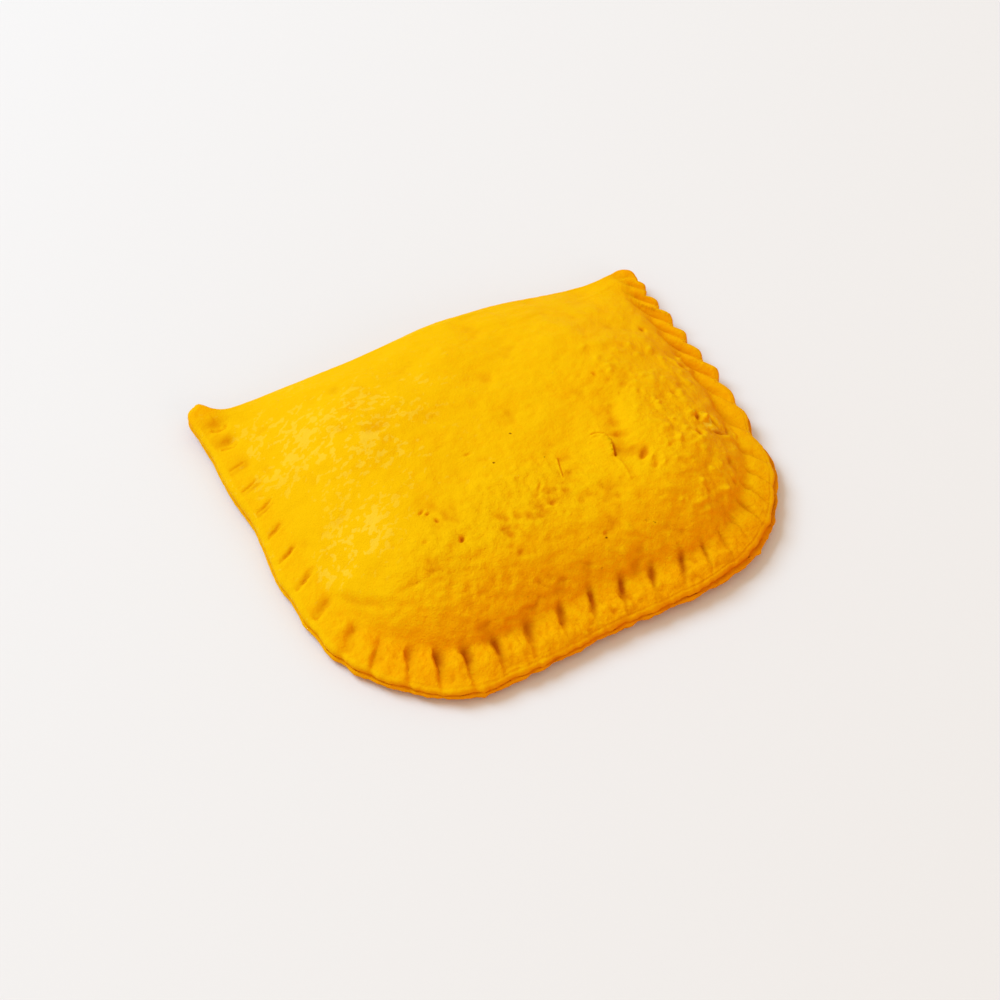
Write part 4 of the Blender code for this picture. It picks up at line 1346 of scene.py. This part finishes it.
def flour_sheen_share(nodes):
    """How far the pale patches of flour and painted sheen show, where the crust carries them."""
    flour_sheen_here = nodes.attribute("flour_sheen")
    patches = nodes.noise(*FLOUR_SHEEN_NOISE, nodes.stretched(FLOUR_SHEEN_TURN, FLOUR_SHEEN_STRETCH))
    clusters = nodes.math("MULTIPLY", nodes.noise(*FLOUR_SHEEN_CLUSTERS), FLOUR_SHEEN_CLUSTER_WEIGHT)
    weighed = nodes.math("MULTIPLY", flour_sheen_here, FLOUR_SHEEN_WEIGHT)
    total = nodes.math("ADD", nodes.math("ADD", clusters, patches), weighed)
    return nodes.math("MULTIPLY", nodes.rise(total, *FLOUR_SHEEN_RISE), flour_sheen_here)


def crust_colour(nodes, normal):
    """Baked dough with pale patches of flour and painted sheen, painted shade in hollows and in the
    front grooves, and dark specks.
    """
    # Pale patches of flour and painted sheen
    colour = nodes.mix(flour_sheen_share(nodes), baked_and_shaded_colour(nodes, normal), FLOUR_SHEEN)
    # Painted shade in hollows
    hollow_shade = nodes.math("MULTIPLY", nodes.attribute("hollow_shade"), HOLLOW_SHADE_STRENGTH)
    colour = nodes.mix(hollow_shade, colour, HOLLOW_SHADE)
    # Painted shade in the front grooves
    groove_shade = nodes.math("MULTIPLY", nodes.attribute("groove_shade"), GROOVE_SHADE_STRENGTH, clamp=True)
    colour = nodes.mix(groove_shade, colour, GROOVE_SHADE)
    near_speck = nodes.math("ADD", nodes.attribute("from_speck"), nodes.noise(*SPECK_NOISE))
    return nodes.mix(nodes.rise(near_speck, *SPECK_FADE), colour, SPECK)


def crust_material():
    """Baked dough: faintly satin, with a fine grain."""
    nodes = Nodes("crust")
    normal = crust_normal(nodes)
    spread = nodes.math("MULTIPLY", nodes.noise(*SHEEN_NOISE), SHEEN_SPREAD)
    nodes.feed(nodes.tree.nodes["Principled BSDF"], {
        "Base Color": crust_colour(nodes, normal),
        "Normal": normal,
        "Roughness": nodes.math("ADD", spread, CRUST_ROUGHNESS),
        "Specular IOR Level": CRUST_SPECULAR,
        "Specular Tint": SHEEN_TINT,
    })
    return nodes.material


def floor_material():
    """Matt pale floor."""
    material = bpy.data.materials.new("floor")
    material.use_nodes = True
    shader = material.node_tree.nodes["Principled BSDF"]
    shader.inputs["Base Color"].default_value = FLOOR
    shader.inputs["Roughness"].default_value = FLOOR_ROUGHNESS
    shader.inputs["Specular IOR Level"].default_value = FLOOR_SPECULAR
    return material


def build_floor():
    """A wide plain floor just under the patty."""
    mesh = bpy.data.meshes.new("floor")
    bm = bmesh.new()
    bmesh.ops.create_grid(bm, x_segments=1, y_segments=1, size=FLOOR_SPAN / 2.0)
    bm.to_mesh(mesh)
    bm.free()
    mesh.materials.append(floor_material())
    floor = add_object("floor", mesh)
    floor.location.z = -FLOOR_GAP
    return floor


def add_soft_light(name, place, power, colour):
    """A square soft light that faces the patty."""
    data = bpy.data.lights.new(name, "AREA")
    data.shape = "SQUARE"
    data.size = LIGHT_SIZE
    data.energy = power
    data.color = colour
    light = add_object(name, data)
    light.location = place
    light.rotation_euler = (-Vector(place)).to_track_quat("-Z", "Y").to_euler()


def add_lights():
    """A bright warm sky, a cool soft light from the far left and a weak warm one from the front."""
    world = bpy.data.worlds.new("studio")
    world.use_nodes = True
    sky = world.node_tree.nodes["Background"]
    sky.inputs["Color"].default_value = SKY_COLOUR
    sky.inputs["Strength"].default_value = SKY_STRENGTH
    bpy.context.scene.world = world
    for settings in LIGHTS:
        add_soft_light(*settings)


def add_camera():
    """The camera at the photograph's viewing angle."""
    data = bpy.data.cameras.new("camera")
    data.lens = CAMERA_LENS
    data.sensor_width = CAMERA_SENSOR
    camera = add_object("camera", data)
    camera.location = CAMERA_PLACE
    camera.rotation_euler = [math.radians(turn) for turn in CAMERA_TURN]
    bpy.context.scene.camera = camera


def corners(bounds):
    """A box as plain lists of numbers."""
    return [list(corner) for corner in bounds]


def main():
    """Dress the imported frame."""
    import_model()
    bpy.context.scene.view_settings.view_transform = "Standard"
    add_camera()
    crust = build_crust(crust_material())
    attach(crust, "root")
    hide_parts("patty")
    build_floor()
    add_lights()


main()
